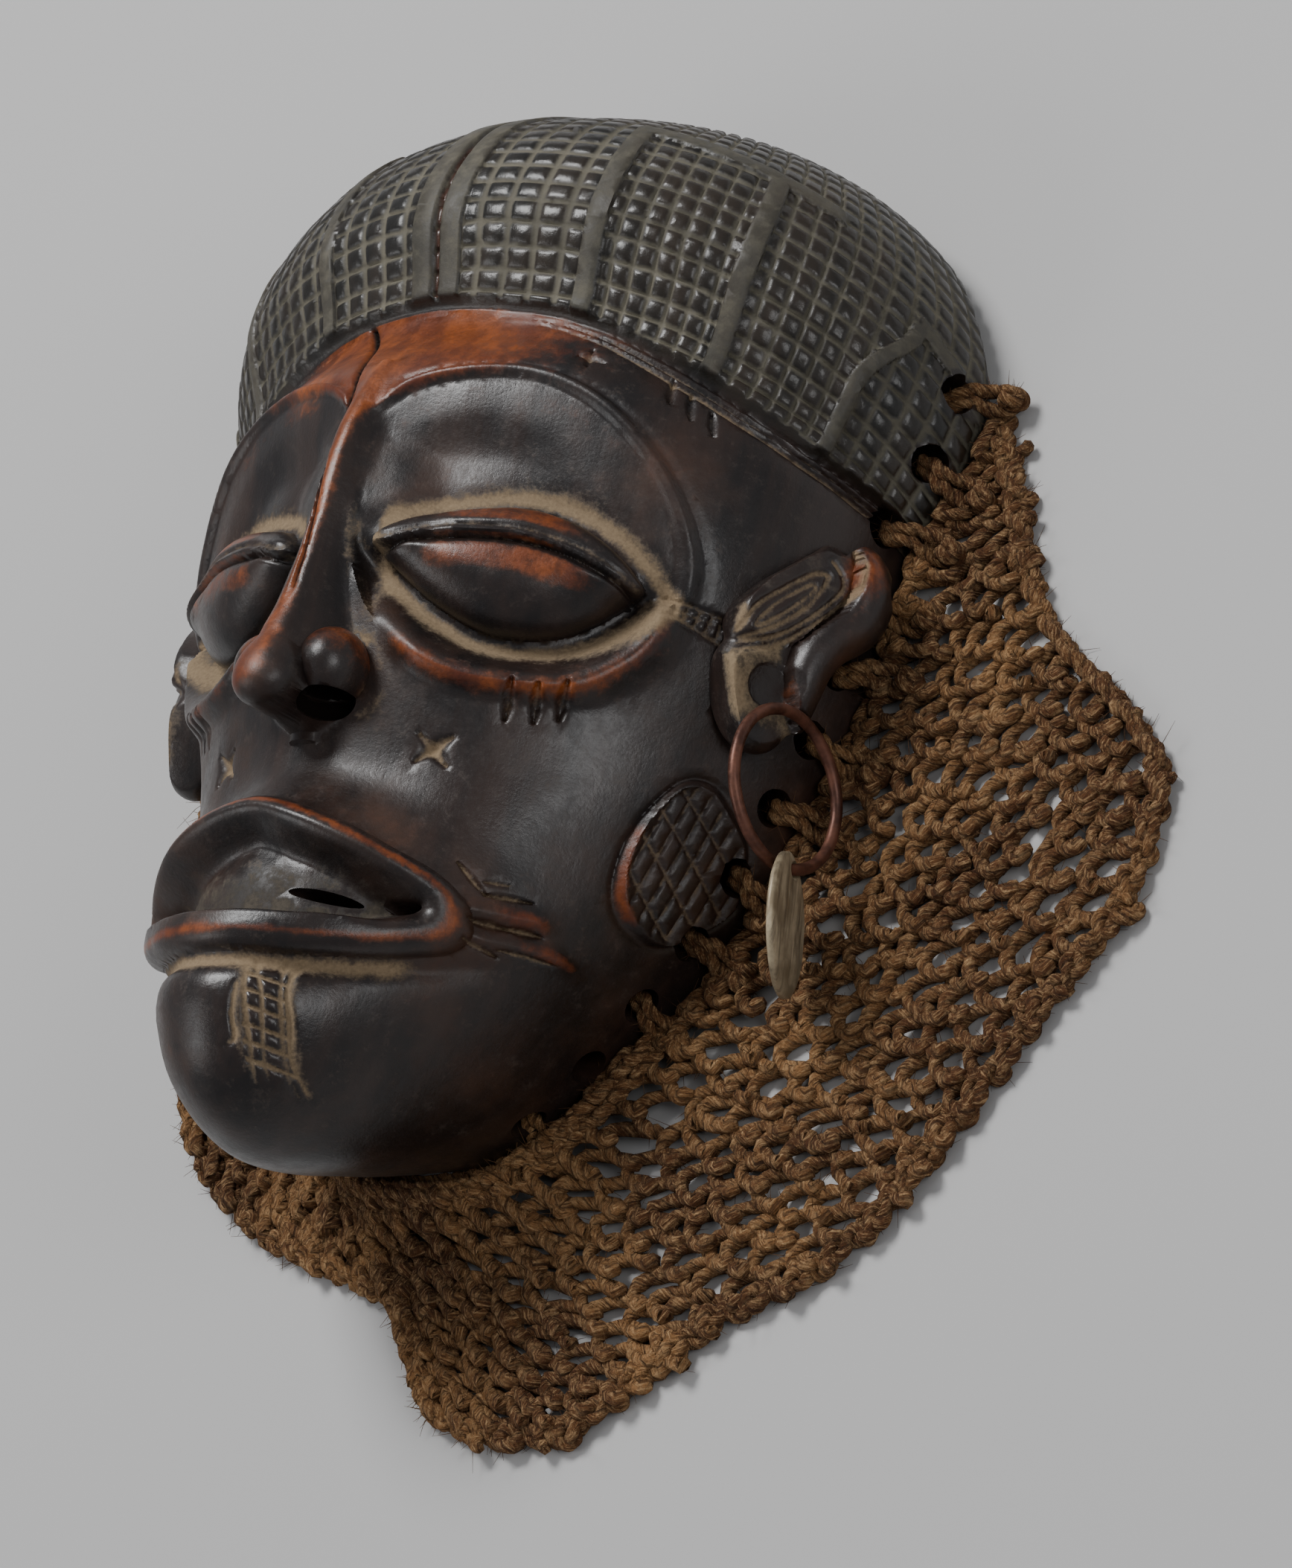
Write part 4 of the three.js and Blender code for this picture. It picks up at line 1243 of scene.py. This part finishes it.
def wood(worn):
    g = Nodes("wood")
    grain = g.noise(90, 6, 0.6, g.scaled(1, 0.14, 1))
    blot = g.noise(28, 5, 0.6)
    fleck = g.noise(260, 5, 0.7)
    speck = g.noise(1300, 4, 0.65)
    mottle = g.add(blot, g.times(fleck, 0.6))
    wear = g.add(g.attr("wear"), g.step(mottle, 0.55, 1.05, -0.42, 0.24))
    fine = g.add(fleck, g.times(speck, 0.5))
    dirt = g.add(g.attr("dirt"), g.step(fine, 0.50, 1.0, -0.26, 0.14))
    dust = g.add(g.attr("dust"), g.step(fleck, 0.35, 0.7, -0.3, 0.1))
    cap = g.attr("cap")
    groove = g.attr("groove")
    base = g.mix(g.step(grain, 0.35, 0.7), (0.0080, 0.0058, 0.0056), (0.027, 0.0155, 0.0120))
    base = g.mix(g.step(fine, 0.80, 1.0, 0, 0.5), base, (0.052, 0.037, 0.029))
    warm = g.mix(g.step(blot, 0.48, 0.76, 0, 0.85), base, (0.050, 0.0215, 0.0110))
    red = g.mix(g.step(grain, 0.3, 0.75), (0.090, 0.0155, 0.0030), worn)
    red = g.mix(g.step(fine, 0.62, 0.9, 0.45, 0), red, (0.045, 0.011, 0.004))
    skin = g.mix(g.step(wear, 0.12, 0.95), warm, red)
    film = g.mix(g.step(fine, 0.6, 0.95), (0.020, 0.016, 0.011), (0.066, 0.053, 0.036))
    skin = g.mix(g.step(dust, 0.1, 0.9, 0, 0.85), skin, film)
    soil = g.mix(speck, (0.13, 0.085, 0.045), (0.32, 0.235, 0.14))
    skin = g.mix(g.step(dirt, 0.15, 1.0, 0, 0.92), skin, soil)
    # painted shade: near-black in the crack, in the nostril hollows and in the ear-lobe hole
    skin = g.mix(g.step(g.attr("crack_and_hole_shade"), 0.25, 0.8), skin, (0.010, 0.007, 0.006))
    cell = g.mix(g.step(grain, 0.3, 0.7), (0.0075, 0.0070, 0.0058), (0.026, 0.0185, 0.0125))
    settled = g.mix(g.step(blot, 0.4, 0.65), (0.075, 0.067, 0.047), (0.125, 0.112, 0.080))
    cover = g.larger(g.times(g.attr("band"), 0.62), groove)
    cover = g.add(cover, g.step(fleck, 0.4, 0.75, -0.16, 0.14))
    coif = g.mix(g.step(cover, 0.15, 0.95), cell, settled)
    coif = g.mix(g.step(g.attr("gap"), 0.3, 0.8), coif, (0.055, 0.022, 0.012))
    color = g.mix(cap, skin, coif)
    bare_wood = g.mix(g.step(grain, 0.3, 0.7), (0.045, 0.030, 0.019), (0.10, 0.066, 0.042))
    color = g.mix(g.attr("inner"), color, bare_wood)
    g.give("Base Color", color)
    rough = g.step(g.add(mottle, g.times(speck, 0.35)), 0.75, 1.25, 0.29, 0.50)
    rough = g.blend(g.step(g.larger(dirt, dust), 0.15, 0.8), rough, 0.85)
    rough = g.blend(cap, rough, g.blend(g.step(cover, 0.1, 0.8), 0.31, 0.74))
    rough = g.blend(g.larger(g.attr("inner"), g.step(g.attr("crack_and_hole_shade"), 0.5, 0.9)), rough, 0.9)
    g.give("Specular IOR Level", g.step(g.attr("crack_and_hole_shade"), 0.5, 0.9, 0.5, 0.02))
    g.give("Roughness", rough)
    b = g.bump(grain, 0.0005, 0.35)
    b = g.bump(fleck, 0.0003, 0.22, b)
    b = g.bump(speck, 0.00014, 0.40, b)
    g.give("Normal", b)
    return g.mat


def copper(light):
    g = Nodes("copper_wire")
    blot = g.noise(160, 5, 0.6)
    g.give("Base Color", g.mix(g.step(blot, 0.35, 0.7), (0.060, 0.023, 0.015), light))
    g.give("Metallic", 0.55)
    g.give("Roughness", g.step(blot, 0.3, 0.7, 0.35, 0.55))
    g.give("Normal", g.bump(blot, 0.0003, 0.5))
    return g.mat


def silver(light):
    g = Nodes("worn_silver")
    blot = g.noise(130, 6, 0.65)
    lines = g.noise(500, 4, 0.6, g.scaled(1, 0.12, 1))
    tone = g.mix(g.step(blot, 0.35, 0.7), (0.25, 0.195, 0.12), light)
    g.give("Base Color", g.mix(g.step(lines, 0.45, 0.65, 0, 0.6), tone, (0.11, 0.085, 0.055)))
    g.give("Metallic", 0.35)
    g.give("Roughness", g.step(blot, 0.3, 0.7, 0.42, 0.62))
    g.give("Normal", g.bump(lines, 0.0003, 0.6))
    return g.mat


def fibre(main_tone):
    """Two-ply cord: the plies wind round it by the marks along and round each tube."""
    g = Nodes("fibre")
    blot = g.noise(38, 5, 0.6)
    hairs = g.noise(1500, 3, 0.7)
    strands = g.noise(420, 4, 0.7)
    turn = g.attr("turn")
    across = g.add(g.times(g.attr("round_x"), g.math("COSINE", turn)),
                    g.times(g.attr("round_y"), g.math("SINE", turn)))
    along = g.math("SUBTRACT", g.times(g.attr("round_y"), g.math("COSINE", turn)),
                   g.times(g.attr("round_x"), g.math("SINE", turn)))
    ply = g.math("ABSOLUTE", across)
    combed = g.noise(2.3, 4, 0.75, g.joined(across, along, g.times(turn, 0.2)))
    tone = g.mix(g.step(blot, 0.40, 0.60), (0.088, 0.034, 0.012), main_tone)
    tone = g.mix(g.step(g.noise(13, 3, 0.5), 0.42, 0.62, 0.0, 0.75), tone, (0.105, 0.040, 0.014))
    tone = g.mix(g.step(strands, 0.45, 0.68, 0.0, 0.55), tone, (0.42, 0.26, 0.125))
    tone = g.mix(g.step(combed, 0.50, 0.64, 0.0, 0.65), tone, (0.56, 0.36, 0.18))
    tone = g.mix(g.step(combed, 0.49, 0.37, 0.0, 0.8), tone, (0.050, 0.019, 0.007))
    tone = g.mix(g.step(hairs, 0.52, 0.3, 0.0, 0.45), tone, (0.045, 0.018, 0.008))
    # painted shade in the valley between the two plies
    tone = g.mix(g.step(ply, 0.02, 0.42, 0.6, 0.0), tone, (0.022, 0.010, 0.0045))
    g.give("Base Color", tone)
    g.give("Roughness", 0.92)
    g.give("Specular IOR Level", 0.25)
    b = g.bump(g.step(ply, 0.0, 0.6), 0.0006, 0.6)
    b = g.bump(combed, 0.0011, 1.0, b)
    b = g.bump(strands, 0.0008, 0.8, b)
    g.give("Normal", g.bump(hairs, 0.0004, 0.8, b))
    return g.mat


def backdrop(tone):
    g = Nodes("paper")
    g.give("Base Color", (*tone, 1))
    g.give("Roughness", 0.9)
    return g.mat


# The stage


CAMERA_PLACE = (0.9690, -0.5880, 1.0831)
CAMERA_RIGHT = np.array([0.782, 0.224, -0.582])
CAMERA_BACK = np.array([0.620, -0.375, 0.689])
CAMERA_LENS = 202.7
LIGHT_TARGET = Vector((0, 0, 0.03))
FLOOR_SIZE = 6.0


def build_stage(p, look):
    scene = bpy.context.scene
    bm = bmesh.new()
    bmesh.ops.create_grid(bm, x_segments=1, y_segments=1, size=FLOOR_SIZE)
    floor = to_mesh("floor", bm)
    floor.data.materials.append(backdrop(look.floor))
    right = unit(CAMERA_RIGHT - CAMERA_BACK * (CAMERA_RIGHT @ CAMERA_BACK))
    back = unit(CAMERA_BACK)
    cam = bpy.data.cameras.new("camera")
    cam.sensor_width = 36
    cam.sensor_fit = "HORIZONTAL"
    cam.lens = CAMERA_LENS
    cam.clip_start = 0.05
    cam.clip_end = 60
    obj = add_object("camera", cam)
    m = Matrix((right, np.cross(back, right), back)).transposed().to_4x4()
    m.translation = Vector(CAMERA_PLACE)
    obj.matrix_world = m
    scene.camera = obj
    for name, at, size, power in (
        ("key", (-0.45, 0.75, 1.6), 0.75, p.key),
        ("fill", (1.5, -0.2, 1.0), 0.8, p.fill),
        ("top", (-1.2, -0.9, 1.3), 0.9, p.top),
    ):
        light = bpy.data.lights.new(name, "AREA")
        light.shape = "DISK"
        light.size = size
        light.energy = power
        lamp = add_object(name, light)
        lamp.location = at
        lamp.rotation_euler = (LIGHT_TARGET - Vector(at)).to_track_quat("-Z", "Y").to_euler()
    world = bpy.data.worlds.new("room")
    world.use_nodes = True
    world.node_tree.nodes["Background"].inputs[0].default_value = (0.93, 0.95, 1.0, 1)
    world.node_tree.nodes["Background"].inputs[1].default_value = p.room
    scene.world = world


# The add-on


class MaskSettings(bpy.types.PropertyGroup):
    step: bpy.props.FloatProperty(
        name="Step", description="Spacing of the first grid in millimetres", default=2.6, min=1)
    levels: bpy.props.IntProperty(
        name="Levels", description="Rounds of refinement", default=3, min=0, max=4)
    tolerance: bpy.props.FloatProperty(
        name="Tolerance", description="Largest flat error in millimetres", default=0.09, min=0.02)
    faces: bpy.props.IntProperty(
        name="Faces", description="Most triangles of the carving", default=190000, min=10000)


class NetSettings(bpy.types.PropertyGroup):
    pitch: bpy.props.FloatProperty(
        name="Pitch", description="Length of one loop in millimetres", default=8.2, min=4)
    row_gap: bpy.props.FloatProperty(
        name="Row gap", description="Spacing of the rows in millimetres", default=6.3, min=3)
    cord: bpy.props.FloatProperty(
        name="Cord", description="Thickness of the cord in millimetres", default=3.5, min=1)
    hairs: bpy.props.IntProperty(
        name="Hairs", description="Number of stray fibres", default=9500, min=0)


class LookSettings(bpy.types.PropertyGroup):
    worn: bpy.props.FloatVectorProperty(
        name="Worn wood", description="Lightest colour of the rubbed wood",
        default=(0.28, 0.068, 0.0095), subtype="COLOR", min=0, max=1)
    fibre: bpy.props.FloatVectorProperty(
        name="Fibre", description="Main colour of the cords",
        default=(0.30, 0.150, 0.058), subtype="COLOR", min=0, max=1)
    copper: bpy.props.FloatVectorProperty(
        name="Copper", description="Lightest colour of the wire",
        default=(0.18, 0.072, 0.044), subtype="COLOR", min=0, max=1)
    silver: bpy.props.FloatVectorProperty(
        name="Silver", description="Lightest colour of the disc",
        default=(0.52, 0.43, 0.29), subtype="COLOR", min=0, max=1)
    floor: bpy.props.FloatVectorProperty(
        name="Floor", description="Colour of the floor",
        default=(0.46, 0.456, 0.452), subtype="COLOR", min=0, max=1)


class StageSettings(bpy.types.PropertyGroup):
    key: bpy.props.FloatProperty(
        name="Key", description="Power of the main light", default=32.0, unit="POWER")
    fill: bpy.props.FloatProperty(
        name="Fill", description="Power of the filling light", default=7.5, unit="POWER")
    top: bpy.props.FloatProperty(
        name="Top", description="Power of the light behind", default=7.0, unit="POWER")
    room: bpy.props.FloatProperty(
        name="Room", description="Strength of the room light", default=0.30, min=0)


class MASK_OT_wood(bpy.types.Operator):
    """Carve the wooden mask"""

    bl_idname = "mask.wood"
    bl_label = "Mask"

    def execute(self, context):
        build_mask(context.scene.mask_settings, context.scene.look_settings)
        return {"FINISHED"}


class MASK_OT_ring(bpy.types.Operator):
    """Bend the wire ring"""

    bl_idname = "mask.ring"
    bl_label = "Ear ring"

    def execute(self, context):
        build_ring(context.scene.look_settings)
        return {"FINISHED"}


class MASK_OT_disc(bpy.types.Operator):
    """Cut the metal disc"""

    bl_idname = "mask.disc"
    bl_label = "Pendant"

    def execute(self, context):
        build_disc(context.scene.look_settings)
        return {"FINISHED"}


class MASK_OT_net(bpy.types.Operator):
    """Loop the net"""

    bl_idname = "mask.net"
    bl_label = "Net"

    def execute(self, context):
        build_net(context.scene.net_settings, context.scene.look_settings)
        return {"FINISHED"}


class MASK_OT_stage(bpy.types.Operator):
    """Set the floor, the lights and the camera"""

    bl_idname = "mask.stage"
    bl_label = "Stage"

    def execute(self, context):
        build_stage(context.scene.stage_settings, context.scene.look_settings)
        return {"FINISHED"}


OPERATORS = (MASK_OT_wood, MASK_OT_ring, MASK_OT_disc, MASK_OT_net, MASK_OT_stage)


class MASK_PT_panel(bpy.types.Panel):
    """Buttons and settings of the mask"""

    bl_idname = "MASK_PT_panel"
    bl_label = "Carved mask"
    bl_space_type = "VIEW_3D"
    bl_region_type = "UI"
    bl_category = "Mask"

    def draw(self, context):
        scene = context.scene
        for group in (scene.mask_settings, scene.net_settings, scene.look_settings, scene.stage_settings):
            for key in group.__annotations__:
                self.layout.prop(group, key)
        for op in OPERATORS:
            self.layout.operator(op.bl_idname)


CLASSES = (MaskSettings, NetSettings, LookSettings, StageSettings, *OPERATORS, MASK_PT_panel)


def register():
    for c in CLASSES:
        bpy.utils.register_class(c)
    bpy.types.Scene.mask_settings = bpy.props.PointerProperty(type=MaskSettings)
    bpy.types.Scene.net_settings = bpy.props.PointerProperty(type=NetSettings)
    bpy.types.Scene.look_settings = bpy.props.PointerProperty(type=LookSettings)
    bpy.types.Scene.stage_settings = bpy.props.PointerProperty(type=StageSettings)


def unregister():
    del bpy.types.Scene.mask_settings
    del bpy.types.Scene.net_settings
    del bpy.types.Scene.look_settings
    del bpy.types.Scene.stage_settings
    for c in reversed(CLASSES):
        bpy.utils.unregister_class(c)


def main():
    register()
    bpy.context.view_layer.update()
    bpy.ops.mask.wood()
    bpy.ops.mask.ring()
    bpy.ops.mask.disc()
    bpy.ops.mask.net()
    bpy.ops.mask.stage()


if __name__ == "__main__":
    main()
